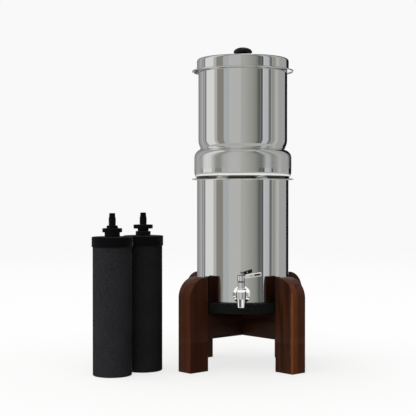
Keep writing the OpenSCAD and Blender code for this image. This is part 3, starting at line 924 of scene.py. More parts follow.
@dataclass(frozen=True)
class Wood:
    """Oiled walnut, with its fibres along one direction of the piece, and painted shade on one broad side
    where asked.
    """

    tones: Tuple[Colour, Colour, Colour]
    streaks: float
    shift: Point
    grain: Grain = Grain.UPRIGHT
    # painted shade on one broad side of a leg: which side, how dark, how warm, and where it starts
    shaded_side: float = 0.0
    side_shade: float = 1.0
    side_shade_warmth: Colour = (1.0, 0.94, 0.75)
    side_from: Span = (14.4 * MM, 15.3 * MM)
    sap: Span = (0.0, 0.0)
    sap_width: Span = (2 * MM, 5.5 * MM)
    sap_share: float = 0.8
    sap_wobble: float = 4 * MM
    specular: float = 0.06
    grain_strength: float = 0.35
    grain_depth: float = 0.25 * MM

    def make(self, shop: Workshop, name: str, angle: float, foot: Point) -> Material:
        """Builds the material for one piece.

        Args:
            shop: the shared patterns.
            name: the material's name.
            angle: degrees by which the piece is turned about the upright.
            foot: the point that it is turned about.

        Returns:
            The material.
        """
        recipe = Recipe(name)
        back_turn = (0.0, 0.0, -math.radians(angle))
        square = recipe.mapped(recipe.measured(recipe.where, foot), {"Rotation": back_turn})
        tilt = math.radians(90.0) if self.grain is Grain.LENGTHWISE else 0.0
        along = recipe.mapped(square, {"Rotation": (0.0, tilt, 0.0), "Location": self.shift})
        dark, middle, light = self.tones
        fibres = recipe.pattern(shop.wood, along, {
            "Dark": dark, "Middle": middle, "Light": light, "Streaks": self.streaks})
        x, y, _ = recipe.split(square)
        colour = fibres["Colour"]
        # painted shade: one broad side of the leg is darkened
        if self.shaded_side:
            face = recipe.spread(recipe.math("MULTIPLY", y, self.shaded_side), *self.side_from)
            shade = tuple(self.side_shade * part for part in self.side_shade_warmth)
            colour = recipe.mix(face, colour, shade, "MULTIPLY")
        if any(self.sap):
            off_x = recipe.math("ABSOLUTE", recipe.math("SUBTRACT", x, self.sap[0]))
            off_y = recipe.math("ABSOLUTE", recipe.math("SUBTRACT", y, self.sap[1]))
            wobble = recipe.math("MULTIPLY", fibres["Height"], self.sap_wobble)
            far = recipe.math("ADD", recipe.math("ADD", off_x, off_y), wobble)
            colour = recipe.mix(recipe.spread(far, *self.sap_width, self.sap_share, 0.0), colour, light)
        recipe.shade({
            "Base Color": colour, "Roughness": fibres["Roughness"], "Specular IOR Level": self.specular})
        recipe.bump(fibres["Height"], self.grain_strength, self.grain_depth)
        return recipe.material


@dataclass(frozen=True)
class Moulded:
    """Moulded plastic, rubber or pressed carbon: one tone with a fine grain."""

    name: str
    tone: Colour
    pale: Colour
    smoothest: float
    roughest: float
    grain_scale: float
    grain_depth: float
    pits: float
    specular: float
    wear_scale: float = 30.0
    wear_share: float = 0.6
    pale_to_tone: Span = (0.2, 0.9)
    grain_strength: float = 0.6

    def make(self, shop: Workshop) -> Material:
        """Builds the material.

        Args:
            shop: the shared patterns.

        Returns:
            The material.
        """
        recipe = Recipe(self.name)
        grains = recipe.pattern(shop.grit, recipe.where, {"Scale": self.grain_scale, "Pits": self.pits})
        wear_and_shade = recipe.pattern(shop.handling, recipe.where, {
            "Scale": self.wear_scale, "Smoothest": self.smoothest, "Roughest": self.roughest})
        uneven = recipe.math("ADD", grains["Mask"], recipe.math("MULTIPLY", wear_and_shade["Height"], self.wear_share))
        recipe.shade({
            "Base Color": recipe.mix(recipe.spread(uneven, *self.pale_to_tone), self.pale, self.tone),
            "Roughness": wear_and_shade["Roughness"], "Specular IOR Level": self.specular})
        recipe.bump(grains["Height"], self.grain_strength, self.grain_depth)
        return recipe.material


RUBBER = Moulded(
    "rubber", (0.0032, 0.0032, 0.0034), (0.0052, 0.0052, 0.0055), 0.5, 0.66, 900.0, 0.03 * MM, 0.2, 0.035)
PLASTIC = Moulded(
    "black_plastic", (0.0018, 0.0018, 0.0020), (0.0029, 0.0029, 0.0032), 0.36, 0.5, 1400.0, 0.01 * MM,
    0.2, 0.035)
KNOB_PLASTIC = Moulded(
    "knob_plastic", (0.003, 0.003, 0.0035), (0.005, 0.005, 0.006), 0.28, 0.38, 1400.0, 0.005 * MM, 0.2, 0.16)
CARBON = Moulded(
    "carbon", (0.0082, 0.0078, 0.0088), (0.0172, 0.0164, 0.0182), 0.8, 0.95, 1700.0, 0.06 * MM, 0.35, 0.04)
# the rear element's carbon: a darker copy, painted shade for standing behind the front element
SHADED_CARBON = Moulded(
    "carbon_painted_shade", (0.006, 0.006, 0.0062), (0.0095, 0.0095, 0.010), 0.8, 0.95, 1700.0, 0.05 * MM, 0.4, 0.03)
PTFE = Moulded("ptfe", (0.72, 0.72, 0.70), (0.80, 0.80, 0.78), 0.4, 0.5, 700.0, 0.01 * MM, 0.1, 0.5)
BACK_WALNUT = ((0.022, 0.0065, 0.0030), (0.045, 0.0140, 0.0070), (0.065, 0.020, 0.011))
RAIL_WALNUT = ((0.0035, 0.0010, 0.0003), (0.018, 0.0054, 0.0015), (0.044, 0.0138, 0.0040))


@dataclass
class Stand:
    """Four walnut legs and two crossed rails, half lapped."""

    leg_in: float = 94.8 * MM
    leg_w: float = 40 * MM
    leg_t: float = 31 * MM
    leg_h: float = 158 * MM
    corner: float = 34 * MM
    rail_top: float = 97.98 * MM
    rail_h: float = 44 * MM
    rail_t: float = 30 * MM
    lap_gap: float = 0.1 * MM
    leg_edge: float = 0.9 * MM
    rail_edge: float = 0.25 * MM

    def woods(self) -> Dict[str, Tuple[float, Wood]]:
        """Gives each leg's and rail's direction and walnut.

        Returns:
            Degrees from the X axis, and the finish, by node.
        """
        outer_corner = (self.leg_in + self.leg_w, -self.leg_t / 2)
        front_left = ((0.030, 0.0078, 0.0024), (0.052, 0.0135, 0.0042), (0.063, 0.0165, 0.0054))
        front_right = ((0.018, 0.0048, 0.0016), (0.063, 0.0170, 0.0050), (0.130, 0.040, 0.0125))
        return {
            # each front leg has painted shade on one broad side
            "leg_front_left": (225.0, Wood(
                front_left, 0.35, (0.31, 0.12, 0.05), shaded_side=1.0, side_shade=0.58)),
            "leg_front_right": (315.0, Wood(
                front_right, 0.45, (0.77, 0.43, 0.11), shaded_side=-1.0, side_shade=0.57, sap=outer_corner)),
            "leg_back_left": (135.0, Wood(BACK_WALNUT, 0.3, (1.41, 0.92, 0.37))),
            "leg_back_right": (45.0, Wood(BACK_WALNUT, 0.4, (2.13, 1.31, 0.71))),
            "cross_rail_under": (45.0, Wood(RAIL_WALNUT, 0.4, (0.2, 0.5, 0.9), Grain.LENGTHWISE)),
            "cross_rail_over": (135.0, Wood(RAIL_WALNUT, 0.4, (0.6, 1.5, 0.3), Grain.LENGTHWISE)),
        }

    def leg(self) -> Mesh:
        """Shapes one leg, pointing along X from the tank's axis.

        Returns:
            The leg.
        """
        outer = self.leg_in + self.leg_w
        corners = ((self.leg_in, 0.0, 0.0), (outer, 0.0, 0.0), (outer, self.leg_h, self.corner),
                   (self.leg_in, self.leg_h, 0.0))
        return slab(corners, self.leg_t, self.leg_edge)

    def rail(self, under: bool) -> Mesh:
        """Shapes one rail along X.

        Args:
            under: True for the rail whose upper half is cut away at the lap.

        Returns:
            The rail.
        """
        top, foot, end = self.rail_top, self.rail_top - self.rail_h, self.leg_in
        middle = (top + foot) / 2
        half_lap = self.rail_t / 2 + self.lap_gap
        edge = top if under else foot
        notch = [(half_lap, edge), (half_lap, middle), (-half_lap, middle), (-half_lap, edge)]
        if under:
            corners = [(-end, foot), (end, foot), (end, top), *notch, (-end, top)]
        else:
            corners = [(-end, foot), *notch[::-1], (end, foot), (end, top), (-end, top)]
        return slab([(x, z, 0.0) for x, z in corners], self.rail_t, self.rail_edge)

    def build(self, shop: Workshop, axis: Point) -> None:
        """Makes the stand's pieces.

        Args:
            shop: the shared patterns.
            axis: foot of the tank's axis.
        """
        for name, (angle, wood) in self.woods().items():
            mesh = self.leg() if name.startswith("leg") else self.rail(name == "cross_rail_under")
            finish = wood.make(shop, f"walnut_{name}", angle, axis)
            settle(f"{name}_piece", move(turn(mesh, angle), axis), Place("stand", "walnut", (name,)), finish)
        dowels = Wood(RAIL_WALNUT, 0.2, (0.0, 0.0, 0.0))
        dress_node("rail_dowels", dowels.make(shop, "walnut_dowels", 0.0, axis))


@dataclass
class BaseRing:
    """The black ring that the lower chamber stands in."""

    radius: float = 92.8 * MM
    height: float = 17 * MM
    foot: float = 98 * MM
    inner: float = 80.3 * MM
    hole: float = 65.3 * MM
    ledge: float = 5 * MM

    def build(self, finish: Material, axis: Point) -> None:
        """Makes the ring.

        Args:
            finish: the rubber.
            axis: foot of the tank's axis.
        """
        top, seat = self.foot + self.height, self.foot + self.ledge
        mesh = turned((
            (self.hole, self.foot, 0.6 * MM), (self.radius, self.foot, 1.2 * MM),
            (self.radius, top, 1.6 * MM), (self.inner, top, 0.8 * MM),
            (self.inner, seat, 0.3 * MM), (self.hole, seat, 0.6 * MM)), 224)
        settle("base_ring_piece", move(mesh, axis), Place("tank", "rubber", ("base_ring",)), finish)


def tangent_radius(width: float, height: float, hollow: float) -> float:
    """Gives the radius of an upright-ended arc that meets a hollow.

    Args:
        width: how far the hollow's centre lies inside the arc's outer end.
        height: how far it lies above that end.
        hollow: the hollow's radius.

    Returns:
        The arc's radius.
    """
    return (width ** 2 + height ** 2 - hollow ** 2) / (2 * (width + hollow))


@dataclass
class Chambers:
    """The two drawn steel chambers."""

    sheet: float = 0.8 * MM
    support: float = 0.8 * MM
    flange: float = 88.6 * MM
    bead: float = 1.2 * MM
    bead_roll: float = -300.0
    tank_r: float = 80 * MM
    tank_z: float = 103 * MM
    joint_z: float = 325 * MM
    base_round: float = 8 * MM
    upper_r: float = 77.6 * MM
    floor_z: float = 294 * MM
    floor_round: float = 6 * MM
    seat_round: float = 1.5 * MM
    seat_end: float = 80.2 * MM
    bulge_r: float = 84.8 * MM
    bulge_low: float = 12 * MM
    bulge_h: float = 24 * MM
    rise: float = 17 * MM
    neck_r: float = 74 * MM
    neck_round: float = 3 * MM
    hip_rise: float = 14 * MM
    rim_z: float = 513 * MM
    mouth_round: float = 1.4 * MM
    stem_hole_r: float = 6.6 * MM
    stem_spacing: float = 70.2 * MM
    drill_reach: float = 3 * MM

    def wall_and_flange(self, path: Outline, wall_r: float, top: float) -> Mesh:
        """Carries an outline up its wall, out along its flange and round the rolled bead.

        Args:
            path: the outline, at the foot of the wall.
            wall_r: the wall's radius.
            top: height of the flange's top.

        Returns:
            The chamber.
        """
        path.line(wall_r, top - self.mouth_round, self.support)
        path.bend(wall_r + self.mouth_round - self.sheet, top - self.mouth_round, -90.0, 5)
        roll = self.flange - self.bead
        path.line(roll, top - self.sheet, self.support / 2)
        path.bend(roll, top - self.bead, self.bead_roll, 20)
        return sheet_metal(path, self.sheet)

    def lower(self) -> Mesh:
        """Shapes the lower chamber.

        Returns:
            The chamber.
        """
        path = Outline(0.0, self.tank_z)
        path.line(self.tank_r - self.base_round, self.tank_z, self.support)
        path.bend(self.tank_r - self.base_round, self.tank_z + self.base_round, 90.0, 12)
        return self.wall_and_flange(path, self.tank_r, self.joint_z)

    def upper(self) -> Mesh:
        """Shapes the upper chamber with its nested foot, seat, bulge, neck and flange.

        Returns:
            The chamber, without its stem holes.
        """
        path = Outline(0.0, self.floor_z)
        path.line(self.upper_r - self.floor_round, self.floor_z, self.support)
        path.bend(self.upper_r - self.floor_round, self.floor_z + self.floor_round, 90.0, 10)
        path.line(self.upper_r, self.joint_z - self.seat_round, self.support)
        path.bend(self.upper_r + self.seat_round, self.joint_z - self.seat_round, -90.0, 6)
        path.line(self.seat_end, self.joint_z)
        run = self.bulge_r - self.seat_end
        under_r = (run ** 2 + self.bulge_low ** 2) / (2 * run)
        band_z = self.joint_z + self.bulge_low
        path.bend(self.bulge_r - under_r, band_z, math.degrees(math.asin(self.bulge_low / under_r)), 14)
        shoulder_z = band_z + self.bulge_h
        path.line(self.bulge_r, shoulder_z, self.support)
        neck_axis, neck_z = self.neck_r + self.neck_round, shoulder_z + self.rise
        shoulder_r = tangent_radius(self.bulge_r - neck_axis, self.rise, self.neck_round)
        shoulder = math.degrees(math.atan2(self.rise, shoulder_r - (self.bulge_r - neck_axis)))
        hip_r = tangent_radius(self.upper_r - neck_axis, self.hip_rise, self.neck_round)
        hip = math.degrees(math.atan2(self.hip_rise, hip_r - (self.upper_r - neck_axis)))
        path.bend(self.bulge_r - shoulder_r, shoulder_z, shoulder, 16)
        path.bend(neck_axis, neck_z, -(shoulder + hip), 14)
        path.bend(self.upper_r - hip_r, neck_z + self.hip_rise, hip, 14)
        return self.wall_and_flange(path, self.upper_r, self.rim_z)

    def build(self, shop: Workshop, axis: Point) -> None:
        """Makes both chambers.

        Args:
            shop: the shared patterns.
            axis: foot of the tank's axis.
        """
        finish = ChamberSteel(axis).make(shop)
        lower = Place("tank", "polished_steel", ("lower_chamber",))
        settle("lower_chamber_piece", move(self.lower(), axis), lower, finish)
        ends = (self.floor_z - self.drill_reach, self.floor_z + self.drill_reach)
        half = self.stem_spacing / 2
        drills = [move(rod(self.stem_hole_r, ends, 64), (offset, 0.0, 0.0)) for offset in (-half, half)]
        upper = Place("upper_tank", "polished_steel", ("upper_chamber",))
        settle("upper_chamber_piece", move(cut_away(self.upper(), drills), axis), upper, finish)


@dataclass
class Lid:
    """The lid, its knob and the screw that holds the knob."""

    sheet: float = 0.8 * MM
    support: float = 0.8 * MM
    rim_z: float = 513 * MM
    top: float = 533.5 * MM
    radius: float = 80.2 * MM
    corner: float = 5 * MM
    hem: float = 1.4 * MM
    lip_r: float = 76.3 * MM
    lip_h: float = 6 * MM
    knob_r: float = 16.3 * MM
    knob_h: float = 20.5 * MM
    dome: float = 8.5 * MM
    under: float = 3 * MM
    waist: float = 9 * MM
    foot: float = 11 * MM
    foot_h: float = 2 * MM
    knob_smooth_under: float = 50.0

    def cover(self) -> Mesh:
        """Shapes the lid's sheet, with its hem on the flange and its lip inside the mouth.

        Returns:
            The sheet.
        """
        path = Outline(0.0, self.top)
        path.line(self.radius - self.corner, self.top, self.support)
        path.bend(self.radius - self.corner, self.top - self.corner, -90.0, 12)
        path.line(self.radius, self.rim_z + self.hem, self.support)
        path.bend(self.radius - self.hem, self.rim_z + self.hem, -90.0, 6)
        path.line(self.lip_r + self.hem, self.rim_z)
        path.bend(self.lip_r + self.hem, self.rim_z - self.hem, 90.0, 6)
        path.line(self.lip_r, self.rim_z - self.lip_h, self.support)
        return sheet_metal(path, self.sheet)

    def knob(self) -> Mesh:
        """Shapes the knob: a foot, a waist, an undercut edge and a dome.

        Returns:
            The knob.
        """
        edge_z = self.top + self.knob_h - self.dome
        path = Outline(0.0, self.top)
        path.line(self.foot, self.top)
        path.line(self.foot, self.top + self.foot_h / 2)
        path.line(self.waist, self.top + self.foot_h)
        path.line(self.waist, edge_z - self.under)
        path.oval(self.waist, edge_z, 10, self.under / (self.knob_r - self.waist))
        path.oval(0.0, edge_z, 20, self.dome / self.knob_r)
        spin_round(path.mesh, 128)
        face_outwards(path.mesh)
        return path.mesh

    def build(self, shop: Workshop, steel: Material, axis: Point) -> None:
        """Makes the lid's pieces.

        Args:
            shop: the shared patterns.
            steel: the steel.
            axis: foot of the tank's axis.
        """
        lid = Place("lid_assembly", "polished_steel", ("lid",))
        settle("lid_piece", move(self.cover(), axis), lid, steel)
        knob = Place("lid_assembly", "black_plastic", ("lid_knob",))
        finish = KNOB_PLASTIC.make(shop)
        settle("lid_knob_piece", move(self.knob(), axis), knob, finish, self.knob_smooth_under)
        dress_node("knob_screw", steel)
        dress_node("knob_washer", steel)


@dataclass
class Tap:
    """The chrome lever tap, measured from its upright axis at the height of its shank."""

    ahead: float = 115 * MM
    shank_z: float = 130 * MM
    body_r: float = 8 * MM
    nozzle_r: float = 6.6 * MM
    outlet_r: float = 4.5 * MM
    drop: float = 18 * MM
    bore: float = 11 * MM
    taper: float = 3 * MM
    top: float = 11 * MM
    bevel: float = 3 * MM
    foot_r: float = 6.3 * MM
    foot_h: float = 2 * MM
    bonnet_r: float = 5.6 * MM
    bonnet_top: float = 24.5 * MM
    head_z: float = 25 * MM
    head_h: float = 10.5 * MM
    head_r: float = 6.2 * MM
    lever_l: float = 34 * MM
    lever_w: float = 6.5 * MM
    lever_t: float = 3.5 * MM
    lever_corner: float = 1.6 * MM
    lever_edge: float = 0.45 * MM
    rise: float = 9.0
    lever_up: float = 1.5 * MM
    hole_r: float = 1.5 * MM
    hole_at: float = 17.2 * MM
    drill_reach: float = 5 * MM
    slot_at: float = 21.8 * MM
    slot_l: float = 10.4 * MM
    slot_w: float = 3 * MM
    slot_depth: float = 1 * MM
    slot_edge: float = 0.05 * MM
    slot_round: float = 0.98
    escutcheon_r: float = 15 * MM
    hub_r: float = 9 * MM
    escutcheon_back: float = 33 * MM
    escutcheon_t: float = 4.5 * MM
    rim_t: float = 1.2 * MM
    shank_r: float = 7 * MM
    shank_end: float = 46.8 * MM
    # heights of the painted shadow bands under the head and on its top
    shade_under_head: Span = (1.4 * MM, 1.0 * MM)
    shade_on_head: Span = (1.3 * MM, 1.0 * MM)

    def body(self) -> Mesh:
        """Shapes the upright body with its nozzle, and the shank behind it.

        Returns:
            The body.
        """
        bore_top = self.bore - self.drop
        upright = turned((
            (self.outlet_r, -self.drop, 0.3 * MM), (self.nozzle_r, -self.drop, 0.5 * MM),
            (self.body_r, -self.taper, 1.5 * MM), (self.body_r, self.top - self.bevel, 1.0 * MM),
            (self.foot_r, self.top, 0.3 * MM), (0.0, self.top, 0.0),
            (0.0, bore_top, 0.0), (self.outlet_r, bore_top, 0.2 * MM)), 96)
        shank = rod(self.shank_r, (0.0, self.shank_end), 96, (0.0, 0.6 * MM))
        return joined((upright, turn(shank, -90.0, Axis.ACROSS)))

    def bonnet(self) -> Mesh:
        """Shapes the bonnet between body and lever.

        Returns:
            The bonnet.
        """
        step = self.top + self.foot_h
        return turned((
            (0.0, self.top, 0.0), (self.foot_r, self.top, 0.2 * MM), (self.foot_r, step, 0.4 * MM),
            (self.bonnet_r, step, 0.1 * MM), (self.bonnet_r, self.bonnet_top, 0.5 * MM),
            (0.0, self.bonnet_top, 0.0)), 96)

    def lever(self) -> Mesh:
        """Shapes the lever: a round head, and a blade on edge with its hole and pressed slot.

        Returns:
            The lever.
        """
        head = rod(self.head_r, (self.head_z, self.head_z + self.head_h), 96, (0.9 * MM, 1.1 * MM), 5)
        half = self.lever_w / 2
        blade = slab((
            (0.0, -half, 0.0), (self.lever_l, -half, self.lever_corner),
            (self.lever_l, half, self.lever_corner), (0.0, half, 0.0)), self.lever_t, self.lever_edge)
        hole = turn(rod(self.hole_r, (-self.drill_reach, self.drill_reach), 40), 90.0, Axis.ACROSS)
        move(hole, (self.hole_at, 0.0, 0.0))
        start, end, half = self.slot_at, self.slot_at + self.slot_l, self.slot_w / 2
        corner = half * self.slot_round
        slot = slab((
            (start, -half, corner), (end, -half, corner), (end, half, corner), (start, half, corner)),
            2 * self.slot_depth, self.slot_edge)
        move(slot, (0.0, -self.lever_t / 2, 0.0))
        blade = turn(cut_away(blade, (hole, slot)), -self.rise, Axis.DEEP)
        return joined((head, move(blade, (0.0, 0.0, self.head_z + self.head_h / 2 + self.lever_up))))

    def escutcheon(self) -> Mesh:
        """Shapes the escutcheon, its rim towards the tank.

        Returns:
            The escutcheon.
        """
        mesh = turned((
            (self.shank_r, 0.0, 0.1 * MM), (self.escutcheon_r, 0.0, 0.2 * MM),
            (self.escutcheon_r, self.rim_t, 0.5 * MM), (self.hub_r, self.escutcheon_t, 1.2 * MM),
            (self.shank_r, self.escutcheon_t, 0.1 * MM)), 128, 5)
        return move(turn(mesh, 90.0, Axis.ACROSS), (0.0, self.escutcheon_back, 0.0))

    def build(self, shop: Workshop, rubber: Material, tank: Point) -> None:
        """Makes the tap's pieces.

        Args:
            shop: the shared patterns.
            rubber: the washers' rubber.
            tank: foot of the tank's axis.
        """
        axis = (tank[0], tank[1] - self.ahead, self.shank_z)
        chrome = CHROME.make(shop)
        top = self.head_z + self.head_h
        steps = ((self.bonnet_top - self.shade_under_head[0], self.head_z + self.shade_under_head[1]),
                 (top - self.shade_on_head[0], top + self.shade_on_head[1]))
        # the bonnet and the lever carry painted shade and painted dark reflection
        wear_and_shade = ShadedTapChrome(axis, -self.lever_t / 2, steps).make(shop)
        for node, mesh, body, finish in (
                ("tap_body", self.body(), "tank", chrome), ("tap_bonnet", self.bonnet(), "tank", wear_and_shade),
                ("tap_lever", self.lever(), "tap_handle", wear_and_shade),
                ("tap_escutcheon", self.escutcheon(), "tank", chrome)):
            settle(f"{node}_piece", move(mesh, axis), Place(body, "chrome", (node,)), finish)
        for name in ("tap_lock_nut", "tap_plug", "tap_lever_screw"):
            dress_node(name, chrome)
        for name in ("tap_outer_washer", "tap_inner_washer"):
            dress_node(name, rubber)
        dress_node("tap_packing", PTFE.make(shop))


@dataclass
class FilterElement:
    """A pressed carbon block with its end cap, threaded stem, seal washer and hand nut."""

    name: str
    nut_upside_down: bool
    block_r: float = 32.3 * MM
    block_in: float = 4.1 * MM
    height: float = 228 * MM
    cap_r: float = 33.9 * MM
    cap_h: float = 16.6 * MM
    cap_t: float = 4 * MM
    boss_r: float = 12.7 * MM
    boss_h: float = 4 * MM
    seal_t: float = 3.5 * MM
    stem_r: float = 6.2 * MM
    tip_r: float = 5.2 * MM
    tip_l: float = 7.5 * MM
    tip_step: float = 0.6 * MM
    tip_taper: float = 0.5 * MM
    stem_l: float = 35 * MM
    bore_r: float = 2.5 * MM
    thread: float = 0.5 * MM
    thread_root: float = 0.3 * MM
    thread_share: float = 0.42
    thread_crest: Span = (0.75, 1.25)
    thread_steps: int = 36
    pitch: float = 2.0 * MM
    gap: float = 0.1 * MM
    nut_r: float = 16.3 * MM
    nut_t: float = 6.5 * MM
    hub_r: float = 9.5 * MM
    hub_h: float = 4.5 * MM
    hub_taper: float = 0.4 * MM
    hub_sink: float = 0.5 * MM
    notches: int = 12
    notch_points: int = 12
    notch_depth: float = 1.5 * MM
    notch_share: float = 0.22

    def block(self) -> Mesh:
        """Shapes the carbon block."""
        return rod(self.block_r, (0.0, self.height - self.block_in), 192, (1.5 * MM, 0.4 * MM))

    def cap(self) -> Mesh:
        """Shapes the end cap with its boss and stem.

        Returns:
            The cap.
        """
        foot, roof = self.height - self.cap_h, self.height - self.cap_t
        boss_z = self.height + self.boss_h
        stem_top = boss_z + self.stem_l
        neck_z = stem_top - self.tip_l
        core = self.stem_r - self.thread
        inner = self.block_r + self.gap
        body = turned((
            (inner, foot, 0.2 * MM), (self.cap_r, foot, 0.5 * MM), (self.cap_r, self.height, 1.0 * MM),
            (self.boss_r, self.height, 0.4 * MM), (self.boss_r, boss_z, 0.4 * MM), (core, boss_z, 0.1 * MM),
            (core, neck_z, 0.3 * MM), (self.tip_r, neck_z + self.tip_step, 0.2 * MM),
            (self.tip_r - self.tip_taper, stem_top, 0.5 * MM), (self.bore_r, stem_top, 0.2 * MM),
            (self.bore_r, boss_z, 0.0), (0.0, boss_z, 0.0), (0.0, roof, 0.0), (inner, roof, 0.1 * MM)), 160)
        return joined((body, self.helix(core, boss_z + self.thread_root, neck_z - self.pitch)))

    def helix(self, core: float, foot: float, top: float) -> Mesh:
        """Winds the stem's thread.

        Args:
            core: radius of the stem under the thread.
            foot: height at which the thread starts.
            top: height at which it ends.

        Returns:
            The thread as a closed solid.
        """
        half = self.pitch * self.thread_share
        root = core - self.thread_root
        crest = [(self.stem_r, foot + half * share, 0.0) for share in self.thread_crest]
        mesh = section(((root, foot, 0.0), *crest, (root, foot + 2 * half, 0.0)), 0.0, 1)
        turns = (top - foot) / self.pitch
        steps = int(turns * self.thread_steps)
        bmesh.ops.spin(
            mesh, geom=mesh.verts[:] + mesh.edges[:] + mesh.faces[:], cent=(0.0, 0.0, 0.0),
            axis=(0.0, 0.0, 1.0), dvec=(0.0, 0.0, (top - foot) / steps), angle=turns * FULL_TURN,
            steps=steps, use_duplicate=False,
        )
        face_outwards(mesh)
        return mesh

    def washer(self) -> Mesh:
        """Shapes the seal washer.

        Returns:
            The washer.
        """
        foot, hole = self.height + self.boss_h, self.stem_r + self.gap
        top = foot + self.seal_t
        return turned((
            (hole, foot, 0.1 * MM), (self.boss_r, foot, 0.5 * MM), (self.boss_r, top, 0.7 * MM),
            (hole, top, 0.1 * MM)), 96)

    def nut(self) -> Mesh:
        """Shapes the hand nut: a notched flange and a hub, hub up.

        Returns:
            The nut.
        """
        mesh = bmesh.new()
        count, hole = self.notches * self.notch_points, self.stem_r + self.gap
        rim = bmesh.ops.create_circle(mesh, segments=count, radius=self.nut_r)["verts"]
        bmesh.ops.create_circle(mesh, segments=count, radius=hole)
        for vertex in rim:
            share = (math.atan2(vertex.co.y, vertex.co.x) * self.notches / FULL_TURN) % 1.0
            near = max(0.0, 1.0 - abs(share - 0.5) / self.notch_share)
            vertex.co.xy *= 1.0 - self.notch_depth * (near * near * (3 - 2 * near)) / self.nut_r
        bmesh.ops.bridge_loops(mesh, edges=mesh.edges[:])
        draw_out(mesh, (0.0, 0.0, self.nut_t))
        round_edges(mesh, 0.5 * MM, 60.0)
        low, high = self.nut_t - self.hub_sink, self.nut_t + self.hub_h
        hub = turned((
            (hole, low, 0.0), (self.hub_r, low, 0.0), (self.hub_r - self.hub_taper, high, 0.6 * MM),
            (hole, high, 0.3 * MM)), 96)
        return joined((mesh, hub))

    def build(self, carbon: Material, plastic: Material, rubber: Material, axis: Point) -> None:
        """Makes the element's pieces.

        Args:
            carbon: the block's finish.
            plastic: the cap's and the nut's finish.
            rubber: the washer's finish.
            axis: foot of the element's axis.
        """
        nut = self.nut()
        if self.nut_upside_down:
            turn(nut, 180.0, Axis.ACROSS)
            move(nut, (0.0, 0.0, self.nut_t + self.hub_h))
        move(nut, (0.0, 0.0, self.height + self.boss_h + self.seal_t))
        for short, node, mesh, body, slot, finish in (
                ("block", "carbon_block", self.block(), "element", "carbon", carbon),
                ("cap", "end_cap", self.cap(), "element", "black_plastic", plastic),
                ("seal", "seal_washer", self.washer(), "element", "rubber", rubber),
                ("nut", "hand_nut", nut, "nut", "black_plastic", plastic)):
            place = Place(f"{self.name}_{body}", slot, (f"{self.name}_{node}",))
            piece = settle(f"{self.name}_{short}_piece", move(mesh, axis), place, finish)
            piece.visible_glossy = False


class Glow(Nodes):
    """The light of a studio card or of the floor, in the making."""

    def __init__(self, name: str) -> None:
        """Starts the material.

        Args:
            name: the material's name.
        """
        self.material = bpy.data.materials.new(name)
        self.material.use_nodes = True
        self.material.node_tree.nodes.clear()
        super().__init__(self.material.node_tree)
        self.light = self.add("ShaderNodeEmission", {"Strength": 1.0})
        self.out = self.add("ShaderNodeOutputMaterial", {"Surface": self.light.outputs[0]})

    def colour(self, value: Value) -> None:
        """Gives the card a colour."""
        self.feed(value, self.light.inputs["Color"])

    def clear_behind(self) -> None:
        """Makes the back of the card clear."""
        side = self.add("ShaderNodeNewGeometry").outputs["Backfacing"]
        both = self.blend(side, self.light, self.add("ShaderNodeBsdfTransparent"))
        self.feed(both.outputs[0], self.out.inputs["Surface"])


@dataclass(frozen=True)
class Card:
    """A studio card that the polished metal mirrors, as seen from the tank."""

    start: float
    stop: float
    glow: Colour
    blend: bool = False


